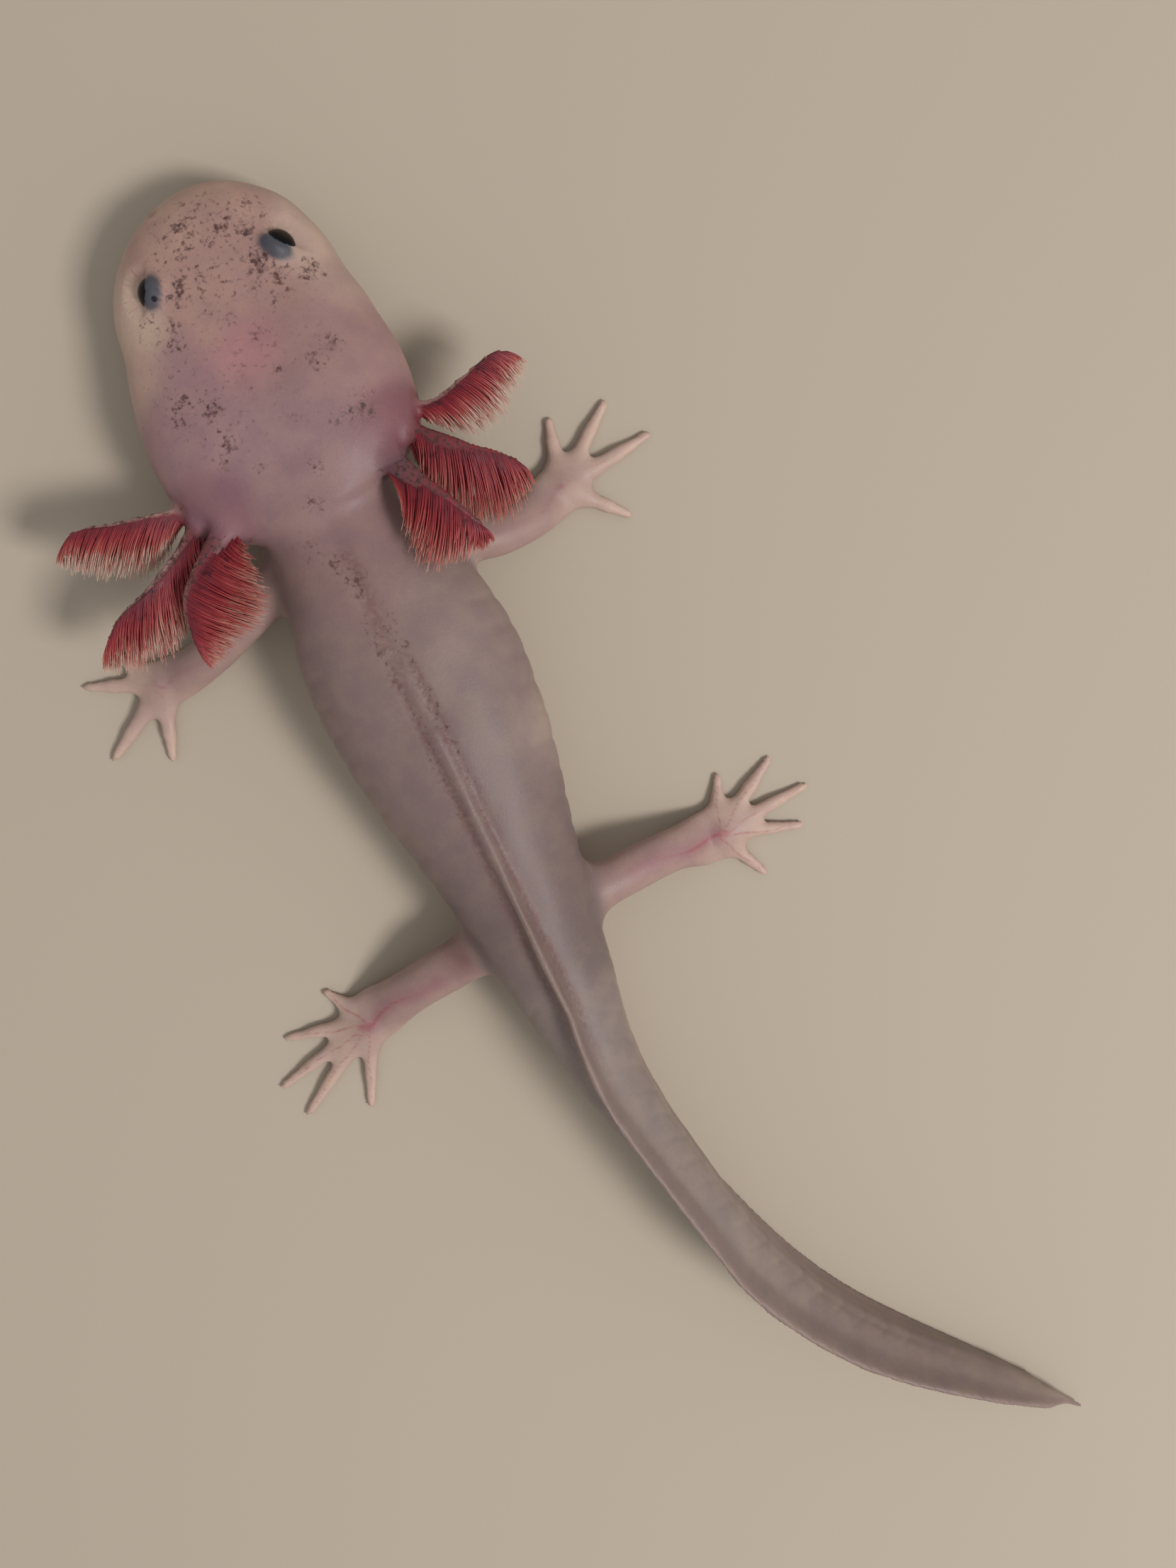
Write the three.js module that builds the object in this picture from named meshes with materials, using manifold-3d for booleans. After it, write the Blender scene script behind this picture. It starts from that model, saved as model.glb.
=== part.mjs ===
// A young leucistic axolotl at life size, resting on the floor with its legs spread.
// Millimetres. The head points to -Y, the animal's left side is +X, and +Z is up.
// Flesh is lofted along a midline on the floor. A place on the body is its distance along it from the snout.
import * as THREE from "three";
import { mergeVertices } from "three/addons/utils/BufferGeometryUtils.js";
import Module from "manifold-3d";

const wasm = await Module();
wasm.setup();

// ---- driving dimensions ----
const BODY_LENGTH = 147.5; // snout to tail tip, along the midline
const SNOUT = new THREE.Vector2(-0.35, -26.4); // where the midline starts, seen from above
const HEAD_END = 26.6;
const SNOUT_ROUNDING = 9; // the rounded front of the head, seen from above
const SNOUT_BLUNTNESS = 7; // the same, seen from the side
const LIP_LEVEL = 4.3; // height of the snout's foremost point
const MOUTH_REACH = 13.5; // how far back the mouth's corners lie
const MOUTH_LEVEL = 3.5; // height of the mouth
const EYE_RADIUS = 1.45;
const GAP = 0.3; // clear space between neighbouring pieces
const FIN_ROOT = 1.2; // thickness of a fin where it leaves the flesh
const FIN_EDGE = 0.6; // thickness of a fin at its edge
const FILAMENT_THICKNESS = 0.55; // a row of gill filaments, as one comb

// Where the body is parted, and where the fins start and end.
const PARTINGS = { neck: 26.9, chest: 34, belly: 50, hips: 63, tail: 79, middle: 101, end: 124 };
const DORSAL_FIN = { start: 48, end: 145.5 };
const VENTRAL_FIN = { start: 83, end: 138 };

// How finely the flesh is lofted.
const STEP = 0.5; // length of one step along the midline
const RING_SPACING = 3;
const HEAD_RINGS = 17;
const HEAD_CROWDING = 1.8;
const SNOUT_CAP = 0.03; // place of the small flat that closes the snout
const NECK_ROOT = 24.5; // how far forward the neck's flesh reaches inside the head
const HEAD_POINTS = 24;
const TRUNK_POINTS = 22;
const TAIL_POINTS = 14;

const COLOURS = {
  skin: { color: 0xd9b3aa, roughness: 0.42 },
  throat: { color: 0xe2c6bb, roughness: 0.42 },
  fin: { color: 0xc9aca3, roughness: 0.35 },
  limb: { color: 0xdcb4ab, roughness: 0.4 },
  gill: { color: 0xb23a36, roughness: 0.35 },
  eye: { color: 0x0b0b0d, roughness: 0.08 },
};

// ---- curves ----

// A smooth function through [place, value] knots that never overshoots between them.
function profile(knots) {
  const last = knots.length - 1;
  const slopes = knots.slice(1).map(([x, y], i) => (y - knots[i][1]) / (x - knots[i][0]));
  const tangent = (i) => {
    if (i === 0 || i === last) return slopes[Math.min(i, last - 1)];
    const [before, after] = [slopes[i - 1], slopes[i]];
    return before * after <= 0 ? 0 : (2 * before * after) / (before + after);
  };
  return (x) => {
    const place = THREE.MathUtils.clamp(x, knots[0][0], knots[last][0]);
    const i = Math.min(last - 1, knots.findIndex(([end], k) => k > 0 && place <= end) - 1);
    const [[x0, y0], [x1, y1]] = [knots[i], knots[i + 1]];
    const width = x1 - x0;
    const t = (place - x0) / width;
    const rise = y0 * (1 + 2 * t) * (1 - t) ** 2 + y1 * t * t * (3 - 2 * t);
    return rise + width * (tangent(i) * t * (1 - t) ** 2 - tangent(i + 1) * t * t * (1 - t));
  };
}

// The round end of the snout: 0 at its tip and 1 from `reach` on.
const rounded = (place, reach) => Math.sqrt(1 - (1 - Math.min(1, Math.max(0, place) / reach)) ** 2);

// Places from `from` to `to`, about `spacing` apart.
function placesBetween(from, to, spacing) {
  const count = Math.max(1, Math.round((to - from) / spacing));
  return Array.from({ length: count + 1 }, (_, i) => from + ((to - from) * i) / count);
}

const curveThrough = (points) =>
  new THREE.CatmullRomCurve3(points.map((p) => new THREE.Vector3(...p)), false, "centripetal");

// The body's heading in degrees, towards the animal's left from straight back.
const heading = profile([
  [0, -1.5], [10, 2.5], [20, 1], [30, -2.5], [50, 1.5], [66, 2], [74, 0], [80, -5], [88, -10],
  [98, -13.3], [106, -17], [113, -23.5], [119, -30.5], [125, -36], [131, -37.2], [139, -35.5],
  [BODY_LENGTH, -33],
]);
// How far the tail leans towards the animal's left, in degrees.
const lean = profile([
  [74, 0], [84, 6.3], [92, 7.8], [100, 10.5], [107, 14.5], [124, 15], [132, 12.5], [140, 10],
  [BODY_LENGTH, 7],
]);

const midline = [SNOUT.clone()];
for (let place = 0; place < BODY_LENGTH; place += STEP) {
  const turn = THREE.MathUtils.degToRad(heading(place + STEP / 2));
  const onward = new THREE.Vector2(Math.sin(turn), Math.cos(turn)).multiplyScalar(STEP);
  midline.push(midline.at(-1).clone().add(onward));
}

// The axes of the cross-section at a place: its foot on the floor, side (left), up and along (tailwards).
function sectionAt(place) {
  const i = THREE.MathUtils.clamp(Math.floor(place / STEP), 0, midline.length - 2);
  const foot = midline[i].clone().lerp(midline[i + 1], place / STEP - i);
  const turn = THREE.MathUtils.degToRad(heading(place));
  const tilt = THREE.MathUtils.degToRad(lean(place));
  const along = new THREE.Vector3(Math.sin(turn), Math.cos(turn), 0);
  const level = new THREE.Vector3(Math.cos(turn), -Math.sin(turn), 0);
  const up = level.multiplyScalar(Math.sin(tilt)).add(new THREE.Vector3(0, 0, Math.cos(tilt)));
  return { foot: new THREE.Vector3(foot.x, foot.y, 0), side: along.clone().cross(up), up, along };
}

// A point of a cross-section, `across` to the left and `height` up.
const sectionPoint = ({ foot, side, up }, across, height) =>
  foot.clone().addScaledVector(side, across).addScaledVector(up, height);

// ---- body shapes, as functions of the place along the midline ----

const capped = (width) => (place) => width(place) * rounded(place, SNOUT_ROUNDING);
const fromLip = (level) => (place) => (
  LIP_LEVEL + (level(place) - LIP_LEVEL) * rounded(place, SNOUT_BLUNTNESS)
);

const HEAD = {
  half: capped(profile([
    [0, 9.1], [6, 9.3], [9.5, 9.65], [13, 10.5], [16, 11.1], [19, 11.3], [22, 11], [24, 10.4],
    [25.6, 9.3], [HEAD_END, 7.6],
  ])),
  back: fromLip(profile([
    [0, 8.2], [5, 8.5], [9, 9.2], [14, 10.4], [19, 11.4], [23, 11.6], [HEAD_END, 10.8],
  ])),
  belly: fromLip(profile([[0, 1.1], [9, 0.8], [16, 0.5], [22, 0.25], [HEAD_END, 0.5]])),
  widest: profile([[0, LIP_LEVEL], [10, 4.2], [20, 5.2], [HEAD_END, 5.6]]),
  squareness: profile([[0, 2.1], [12, 2.5], [HEAD_END, 2.5]]),
};

const TRUNK = {
  half: profile([
    [24, 5.8], [27, 6], [31, 6.6], [34.5, 7.6], [38, 8.6], [43, 9.2], [49, 8.8], [54, 8], [58, 7.2],
    [62, 6.4], [67, 5.6], [72, 5], [78, 3.95], [82, 3.3], [86, 2.8], [91, 2.35], [97, 2.1],
    [110, 1.65], [124, 1.2], [138, 0.8], [BODY_LENGTH, 0.4],
  ]),
  back: profile([
    [24, 10.4], [29, 10.8], [36, 12.2], [42, 13.2], [48, 13.4], [56, 13], [64, 12.2], [72, 11.4], [80, 10.6],
    [90, 9.6], [105, 8.3], [118, 6.9], [130, 5.1], [140, 3.4], [BODY_LENGTH, 1.5],
  ]),
  belly: profile([
    [24, 0.5], [30, 0], [36, -0.4], [76, -0.3], [82, 0.9], [88, 1.7], [97, 2.3], [110, 2.5], [125, 2],
    [138, 1.1], [BODY_LENGTH, 0.3],
  ]),
  widest: profile([
    [24, 5.4], [36, 5.8], [60, 5.7], [80, 5.5], [100, 5.4], [112, 4.8], [125, 3.7], [138, 2.3],
    [BODY_LENGTH, 0.9],
  ]),
  squareness: profile([[24, 2.3], [36, 2.3], [60, 2.2], [80, 2.05], [BODY_LENGTH, 2]]),
};

// The edges of the fins: the dorsal one's crest and the ventral one's keel, as heights in the cross-section.
const crest = profile([
  [40, 13.2], [48, 14.2], [54, 14.4], [60, 14], [70, 13.5], [80, 13.2], [92, 12.7], [104, 11.9],
  [115, 10.5], [126, 8.8], [135, 6.8], [142, 4.6], [BODY_LENGTH, 1.7],
]);
const keel = profile([[80, 0.5], [87, -0.3], [BODY_LENGTH, -0.3]]);

// ---- solids ----

// A closed geometry as a manifold-3d solid.
function solidOf(geometry) {
  const bare = geometry.clone();
  bare.deleteAttribute("normal");
  bare.deleteAttribute("uv");
  const merged = mergeVertices(bare, 1e-5);
  return new wasm.Manifold(new wasm.Mesh({
    numProp: 3,
    vertProperties: new Float32Array(merged.attributes.position.array),
    triVerts: new Uint32Array(merged.index.array),
  }));
}

// A closed solid through rings of points. Each ring turns from `side` to `up`, and the next lies
// further along.
function loft(rings) {
  const count = rings[0].length;
  const centre = (ring) => ring.reduce((sum, p) => sum.add(p), new THREE.Vector3()).divideScalar(count);
  const points = [...rings.flat(), centre(rings[0]), centre(rings.at(-1))];
  const faces = [];
  for (let i = 0; i < rings.length - 1; i++) {
    for (let k = 0; k < count; k++) {
      const [a, b] = [i * count + k, i * count + ((k + 1) % count)];
      faces.push(a, a + count, b, b, a + count, b + count);
    }
  }
  const end = (rings.length - 1) * count;
  for (let k = 0; k < count; k++) {
    const next = (k + 1) % count;
    faces.push(points.length - 2, k, next, points.length - 1, end + next, end + k);
  }
  return solidOf(new THREE.BufferGeometry().setFromPoints(points).setIndex(faces));
}

// A length of flesh with cross-sections like ellipses with squarer shoulders, swollen by `grow`.
function fleshSolid(shape, places, points, grow = 0) {
  return loft(places.map((place) => {
    const section = sectionAt(place);
    const half = shape.half(place) + grow;
    const widest = shape.widest(place);
    const above = shape.back(place) - widest + grow;
    const below = widest - shape.belly(place) + grow;
    const power = 2 / shape.squareness(place);
    const squared = (value) => Math.sign(value) * Math.abs(value) ** power;
    return Array.from({ length: points }, (_, k) => {
      const angle = (2 * Math.PI * k) / points;
      const rise = squared(Math.sin(angle));
      const height = widest + (rise > 0 ? above : below) * rise;
      return sectionPoint(section, half * squared(Math.cos(angle)), height);
    });
  }));
}

// A length of fin: a thin blade from just off the flesh out to its edge.
function finSolid(flesh, edge, from, to) {
  return loft(placesBetween(from, to, RING_SPACING).map((place) => {
    const section = sectionAt(place);
    const outward = Math.sign(edge(place) - flesh(place));
    const [inner, outer] = [flesh(place) + outward * GAP, edge(place)];
    const rim = outer - outward * Math.min(FIN_EDGE / 2, Math.abs(outer - inner) / 2);
    const corners = [
      [FIN_ROOT / 2, inner], [FIN_EDGE / 2, rim], [0, outer], [-FIN_EDGE / 2, rim], [-FIN_ROOT / 2, inner],
    ];
    const turned = outward > 0 ? corners : corners.reverse();
    return turned.map(([across, height]) => sectionPoint(section, across, height));
  }));
}

// A tube along a curve. `halves` gives its half width and half height at a share of its length.
function tube(curve, halves, points, shares) {
  return loft(shares.map((share) => {
    const centre = curve.getPoint(share);
    const along = curve.getTangent(share);
    const side = along.clone().cross(new THREE.Vector3(0, 0, 1)).normalize();
    const up = side.clone().cross(along);
    const [wide, high] = halves(share);
    return Array.from({ length: points }, (_, k) => {
      const angle = (2 * Math.PI * k) / points;
      const [across, rise] = [wide * Math.cos(angle), high * Math.sin(angle)];
      return centre.clone().addScaledVector(side, across).addScaledVector(up, rise);
    });
  }));
}

// What lies below the floor is cut away, which leaves small flats at one level.
const FLOOR_BLOCK = 400;
const block = (edge) => new THREE.BoxGeometry(edge, edge, edge);
const floor = solidOf(block(FLOOR_BLOCK).translate(0, 0, -FLOOR_BLOCK / 2));
const onFloor = (solid) => solid.subtract(floor);

// The head's rings crowd together towards the snout, where it turns fastest.
const headPlaces = Array.from({ length: HEAD_RINGS }, (_, i) => {
  const share = (i / (HEAD_RINGS - 1)) ** HEAD_CROWDING;
  return THREE.MathUtils.lerp(SNOUT_CAP, HEAD_END, share);
});

// All the flesh with GAP of room round it, which is cut from the legs and gills that meet it.
const surround = fleshSolid(TRUNK, placesBetween(NECK_ROOT, BODY_LENGTH, RING_SPACING), TRUNK_POINTS, GAP)
  .add(fleshSolid(HEAD, [...headPlaces.slice(0, -1), HEAD_END + GAP], HEAD_POINTS, GAP));

// ---- the scene ----

const axolotl = new THREE.Group();

// Adds a solid to the scene as a named mesh. Crumbs that a cut leaves beside the main body are dropped.
function addPiece(name, solid, finish) {
  const [body] = solid.decompose().sort((a, b) => b.volume() - a.volume());
  const { vertProperties, triVerts } = body.getMesh();
  const geometry = new THREE.BufferGeometry()
    .setAttribute("position", new THREE.BufferAttribute(Float32Array.from(vertProperties), 3))
    .setIndex(new THREE.BufferAttribute(Uint32Array.from(triVerts), 1));
  const mesh = new THREE.Mesh(geometry, new THREE.MeshStandardMaterial({ ...COLOURS[finish], metalness: 0 }));
  mesh.name = name;
  axolotl.add(mesh);
}

// ---- head, jaw and eyes ----

const EYES = { left: [4.25, -19.76, 7.45], right: [-6.04, -18.74, 7.45] };
const JAW_BLOCK = 60; // edge of the blocks that part the jaw from the head

const eyeball = (centre, grow = 0) =>
  solidOf(new THREE.IcosahedronGeometry(EYE_RADIUS + grow, 2).translate(...centre));

function addHead() {
  let head = fleshSolid(HEAD, headPlaces, HEAD_POINTS);
  for (const [side, centre] of Object.entries(EYES)) {
    head = head.subtract(eyeball(centre, GAP));
    addPiece(`eye_${side}`, eyeball(centre), "eye");
  }
  // The lower jaw lies below a level cut at the mouth and ends at an upright cut behind the mouth's corners.
  const back = SNOUT.y + MOUTH_REACH;
  const jawBlock = (gap) => block(JAW_BLOCK).translate(
    0, back + (gap - JAW_BLOCK) / 2, MOUTH_LEVEL + (gap - JAW_BLOCK) / 2,
  );
  addPiece("head", onFloor(head.subtract(solidOf(jawBlock(GAP)))), "skin");
  addPiece("lower_jaw", onFloor(head.intersect(solidOf(jawBlock(-GAP)))), "throat");
}

// ---- neck, trunk and tail ----

function addBody() {
  const names = ["neck", "chest", "belly", "hips", "tail_base", "tail_middle", "tail_end"];
  const cuts = [...Object.values(PARTINGS), BODY_LENGTH];
  names.forEach((name, i) => {
    const places = placesBetween(cuts[i] + GAP / 2, cuts[i + 1] - GAP / 2, RING_SPACING);
    const points = name.startsWith("tail") ? TAIL_POINTS : TRUNK_POINTS;
    addPiece(name, onFloor(fleshSolid(TRUNK, places, points)), "skin");
  });
}

function addFins() {
  const { tail, middle, end } = PARTINGS;
  const add = (name, flesh, edge, from, to) => {
    addPiece(name, onFloor(finSolid(flesh, edge, from + GAP / 2, to - GAP / 2)), "fin");
  };
  add("dorsal_fin_trunk", TRUNK.back, crest, DORSAL_FIN.start, tail);
  add("dorsal_fin_base", TRUNK.back, crest, tail, middle);
  add("dorsal_fin_middle", TRUNK.back, crest, middle, end);
  add("dorsal_fin_end", TRUNK.back, crest, end, DORSAL_FIN.end);
  add("ventral_fin_base", TRUNK.belly, keel, VENTRAL_FIN.start, middle);
  add("ventral_fin_middle", TRUNK.belly, keel, middle, end);
  add("ventral_fin_end", TRUNK.belly, keel, end, VENTRAL_FIN.end);
}

// ---- legs ----

// Each leg's joints from the body out, its half widths at them, and the tips of its toes, which lie
// on the floor.
const LEGS = {
  fore_right: {
    names: ["upper_arm", "forearm", "hand"],
    joints: [[-4.5, 4.6, 5.2], [-10.8, 8.7, 3.7], [-14.6, 8.9, 2.3], [-17.6, 8, 1], [-19.4, 7.6, 0.6]],
    halves: [2.2, 1.8, 1.85, 2.15, 1.9],
    toes: [[-19.9, 1.8], [-25.1, 2.7], [-27.5, 6.9], [-23, 12.7]],
  },
  fore_left: {
    names: ["upper_arm", "forearm", "hand"],
    joints: [[4.5, 3.6, 5.2], [12.6, 6.6, 3.7], [16.8, 7.7, 2.3], [20, 7.9, 1], [21.8, 7.9, 0.6]],
    halves: [2.2, 1.8, 1.85, 2.15, 1.9],
    toes: [[23.6, 3.9], [27.6, 5.1], [28.5, 12.1], [23.7, 14.5]],
  },
  hind_right: {
    names: ["thigh", "shin", "foot"],
    joints: [[-1.5, 40.9, 5.2], [-8.6, 40.8, 4.5], [-13.4, 41.2, 2.8], [-16.8, 42, 1], [-18.8, 42.4, 0.6]],
    halves: [2.5, 2, 1.95, 2.6, 2.3],
    toes: [[-20.2, 37], [-25.2, 37.8], [-27.3, 41.7], [-25.5, 45.1], [-20.4, 48]],
  },
  hind_left: {
    names: ["thigh", "shin", "foot"],
    joints: [[2.5, 40.6, 5.2], [9.6, 41.7, 4.5], [14.4, 42.7, 2.8], [18.2, 43.8, 1], [20.2, 44.5, 0.6]],
    halves: [2.6, 2.2, 2.15, 2.6, 2.3],
    toes: [[21.9, 39.7], [27.4, 42.4], [30.1, 46.7], [29.2, 50.3], [23.3, 52.3]],
  },
};
const LEG_CUTS = [0.01, 0.36, 0.7, 1]; // shares of the leg where it starts, bends, flexes and ends
const LEG_RING_SPACING = 0.1; // as a share of the leg
const LEG_POINTS = 8;
const TOE_POINTS = 6;
const PALM_PLACE = 0.875; // share of the leg where its toes meet
const LEG_HEIGHTS = [1.9, 1.65, 1.4, 1.06, 0.66]; // half heights at the joints
const TOE_ROOT = 1; // half width of a toe where it leaves the palm
const TOE_TIP = 0.55;
const TOE_LEVEL = 0.7; // height of a toe's middle where it leaves the palm
const TOE_TIP_LEVEL = 0.27;
const TOE_FLATNESS = 0.8; // height of a toe as a share of its width

// A toe from inside the palm to its tip, arched a little.
function toeSolid([palmX, palmY], [tipX, tipY]) {
  const start = new THREE.Vector3(palmX, palmY, TOE_LEVEL);
  const end = new THREE.Vector3(tipX, tipY, TOE_TIP_LEVEL);
  const curve = new THREE.QuadraticBezierCurve3(start, start.clone().lerp(end, 0.5).setZ(TOE_LEVEL), end);
  const halves = (share) => {
    const half = THREE.MathUtils.lerp(TOE_ROOT, TOE_TIP, share);
    return [half, half * TOE_FLATNESS];
  };
  return tube(curve, halves, TOE_POINTS, [0, 0.5, 1]);
}

function addLeg(end, { names, joints, halves, toes }) {
  const curve = curveThrough(joints);
  const overJoints = (values) => profile(values.map((value, i) => [i / (values.length - 1), value]));
  const [wide, high] = [overJoints(halves), overJoints(LEG_HEIGHTS)];
  const cut = GAP / 2 / curve.getLength();
  names.forEach((name, i) => {
    const shares = placesBetween(LEG_CUTS[i] + cut, LEG_CUTS[i + 1] - cut, LEG_RING_SPACING);
    let piece = tube(curve, (share) => [wide(share), high(share)], LEG_POINTS, shares);
    if (i === 0) piece = piece.subtract(surround);
    if (i === 2) {
      const palm = curve.getPoint(PALM_PLACE).toArray();
      piece = toes.reduce((foot, tip) => foot.add(toeSolid(palm, tip)), piece);
    }
    addPiece(`${name}_${end}`, onFloor(piece), "limb");
  });
}

// ---- gills ----

// Each gill: its stalk from the head out, and the line that its filaments' tips reach, from the
// stalk's root to its end.
const GILLS = {
  gill_left_front: {
    stalk: [[9.6, -3.2, 7.2], [12.4, -4.3, 8.2], [15.8, -5.2, 9.2], [19, -6.1, 9.1], [21.4, -5, 8]],
    tips: [[11.6, -3, 7.2], [15.6, -0.4, 7.2], [18.5, -1.5, 7.3], [20.8, -3, 7.3], [22, -4.6, 7.5]],
  },
  gill_left_middle: {
    stalk: [[9.2, -2.5, 8.1], [12.1, -0.7, 9.2], [15.5, 0.7, 10], [19, 1.7, 10], [22.3, 4.1, 8.9]],
    tips: [[10.6, 0, 8.2], [14.3, 4.3, 7.9], [17.3, 6.1, 7.9], [20.7, 5.6, 7.9], [22.7, 4.6, 8.1]],
  },
  gill_left_rear: {
    stalk: [[6.8, -1.6, 9.2], [10, 0.4, 10.5], [12.6, 2.5, 11.3], [13.8, 5.4, 11.1], [14.1, 7.6, 10.6]],
    tips: [[6.6, 0.8, 10.8], [6.7, 4.3, 10.8], [7.6, 6.6, 10.6], [10.6, 7.4, 10.3], [14.3, 8.8, 10]],
  },
  gill_right_front: {
    stalk: [[-9.6, -3.2, 7.2], [-12.1, -2.8, 8.2], [-15, -3.4, 9.2], [-17.8, -4.1, 9.4], [-19.9, -3.4, 8.7]],
    tips: [[-10.8, -1.4, 7.2], [-13.3, 0.8, 7.2], [-15.8, 1.1, 7.3], [-18.2, -0.5, 7.4], [-20.3, -2.5, 7.8]],
  },
  gill_right_middle: {
    stalk: [[-8.4, -2.4, 8.1], [-10.5, -0.3, 9.2], [-12.8, 1.6, 9.9], [-15.1, 3.4, 9.8], [-16.8, 5.3, 8.9]],
    tips: [[-9, 0.6, 8.2], [-9.2, 3.6, 7.8], [-10.4, 6.6, 7.8], [-13.2, 7.9, 7.9], [-16.9, 6.2, 8.2]],
  },
  gill_right_rear: {
    stalk: [[-6.2, -1.4, 9.2], [-7.9, 2, 10.8], [-9.4, 4.4, 11.4], [-10.8, 7.1, 11.1], [-11.6, 8.4, 10.6]],
    tips: [[-6.6, 2.2, 11.4], [-5.2, 5.6, 12.2], [-5.4, 8.7, 12], [-8.2, 9.5, 10.6], [-11.8, 9.1, 10]],
  },
};
const STALK_ROOT = 1.25;
const STALK_TIP = 0.4;
const STALK_TAPER = 0.7; // below 1, the stalk thins soonest near its root
const STALK_POINTS = 6;
const STALK_RING_SPACING = 0.16; // as a share of the stalk
const COMB_START = 0.07; // shares of the stalk between which the filaments grow
const COMB_END = 0.985;
const TEETH = 6; // teeth of a comb
const NOTCH = 0.3; // depth of a notch between teeth, as a share of a filament's length
const ROWS = [0.9, -1]; // a gill's two rows of filaments, as how far each is lifted at its tips
const FULL_LIFT = 4; // length of filament from which a row has all of its lift

// One row of filaments, as a thin comb from the stalk to the line of tips.
function combSolid(stalk, tips, lift, thickness, grow) {
  const shares = placesBetween(COMB_START, COMB_END, (COMB_END - COMB_START) / (2 * TEETH));
  return loft(shares.map((share, i) => {
    const root = stalk.getPoint(share);
    const tip = tips.getPoint((share - COMB_START) / (1 - COMB_START));
    tip.z += lift * Math.min(1, root.distanceTo(tip) / FULL_LIFT);
    const hang = tip.sub(root);
    const reach = hang.length() * (i % 2 ? 1 : 1 - NOTCH) + grow;
    const end = root.clone().addScaledVector(hang.normalize(), reach);
    const facing = hang.cross(stalk.getTangent(share)).normalize().multiplyScalar(thickness / 2);
    const edge = (middle, sign) => middle.clone().addScaledVector(facing, sign);
    return [edge(root, 1), edge(root, -1), edge(end, -1), edge(end, 1)];
  }));
}

// A gill's stalk with its two combs, swollen by `grow`.
function gillSolid({ stalk, tips }, grow = 0) {
  const [core, edge] = [curveThrough(stalk), curveThrough(tips)];
  const halves = (share) => {
    const half = THREE.MathUtils.lerp(STALK_ROOT, STALK_TIP, share ** STALK_TAPER) + grow;
    return [half, half];
  };
  // A comb on the other side of the body comes out inside out, and a negative thickness turns it round.
  const thickness = FILAMENT_THICKNESS + 2 * grow;
  const row = (lift) => {
    const comb = combSolid(core, edge, lift, thickness, grow);
    return comb.volume() > 0 ? comb : combSolid(core, edge, lift, -thickness, grow);
  };
  const stalkSolid = tube(core, halves, STALK_POINTS, placesBetween(0, 1, STALK_RING_SPACING));
  return ROWS.reduce((gill, lift) => gill.add(row(lift)), stalkSolid);
}

// The gills of one side, each cut clear of those before it.
function addGills(side) {
  let taken = surround;
  for (const [name, gill] of Object.entries(GILLS).filter(([name]) => name.includes(side))) {
    addPiece(name, gillSolid(gill).subtract(taken), "gill");
    taken = taken.add(gillSolid(gill, GAP));
  }
}

addHead();
addBody();
addFins();
Object.entries(LEGS).forEach(([end, leg]) => addLeg(end, leg));
addGills("left");
addGills("right");

// The origin is on the floor, under the middle of the whole animal's box.
const box = new THREE.Box3().setFromObject(axolotl);
axolotl.position.set(-(box.min.x + box.max.x) / 2, -(box.min.y + box.max.y) / 2, 0);

export default axolotl;
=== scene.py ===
"""A young pale axolotl at life size, as a still museum model lying on a floor.

The flesh is one skin. It is meshed from a distance field in which the head, trunk, tail, fins, legs and
gill stalks run softly into each other. The gills' filaments are grown on their stalks by Geometry Nodes,
and the eyes are pieces of their own. Shapes are worked out in millimetres and written in metres.

Places on the body are distances along its midline from the snout. The animal's own frame has the same
axes as the part, with its origin on the floor behind the head.
"""

import logging
import math
from dataclasses import dataclass, field
from enum import Enum

import bpy
import numpy as np
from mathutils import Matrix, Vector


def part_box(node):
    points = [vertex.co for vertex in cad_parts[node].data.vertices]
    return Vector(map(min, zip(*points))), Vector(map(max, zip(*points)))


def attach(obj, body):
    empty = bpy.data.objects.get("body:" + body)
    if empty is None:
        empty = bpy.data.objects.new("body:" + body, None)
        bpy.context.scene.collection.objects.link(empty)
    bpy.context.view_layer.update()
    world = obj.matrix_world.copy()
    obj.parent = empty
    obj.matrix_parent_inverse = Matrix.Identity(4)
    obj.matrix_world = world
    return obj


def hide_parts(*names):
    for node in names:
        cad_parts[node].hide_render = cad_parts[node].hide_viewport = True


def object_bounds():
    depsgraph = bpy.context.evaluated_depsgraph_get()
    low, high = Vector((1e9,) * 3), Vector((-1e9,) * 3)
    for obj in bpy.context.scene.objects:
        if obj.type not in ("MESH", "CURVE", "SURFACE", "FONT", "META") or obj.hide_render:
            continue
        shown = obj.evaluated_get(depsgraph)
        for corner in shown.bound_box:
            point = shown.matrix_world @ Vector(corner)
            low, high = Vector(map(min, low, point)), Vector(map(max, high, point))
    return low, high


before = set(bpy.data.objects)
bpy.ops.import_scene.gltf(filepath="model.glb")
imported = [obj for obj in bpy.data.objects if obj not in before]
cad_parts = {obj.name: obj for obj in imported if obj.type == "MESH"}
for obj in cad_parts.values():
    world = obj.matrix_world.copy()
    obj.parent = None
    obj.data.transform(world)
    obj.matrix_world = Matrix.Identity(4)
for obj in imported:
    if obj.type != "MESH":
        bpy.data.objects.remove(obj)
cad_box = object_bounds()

import openvdb as vdb
from bpy.types import ID, Material, Mesh, Node, NodeSocket, NodeTree, Object
from mathutils import Matrix, Vector

log = logging.getLogger("axolotl")

MM = 0.001
SEED = 7
SEEDS_APART = 10
BODY_LENGTH = 147.5
HEAD_END = 26.6
LIP_LEVEL = 4.3
EYE_RADIUS = 1.45
WAVES = 14

Array = np.ndarray
Sockets = bpy.types.bpy_prop_collection
Point = tuple[float, float, float]
Colour = tuple[int, int, int]
UP = (0.0, 0.0, 1.0)


# ---- Curves and profiles ----


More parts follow.
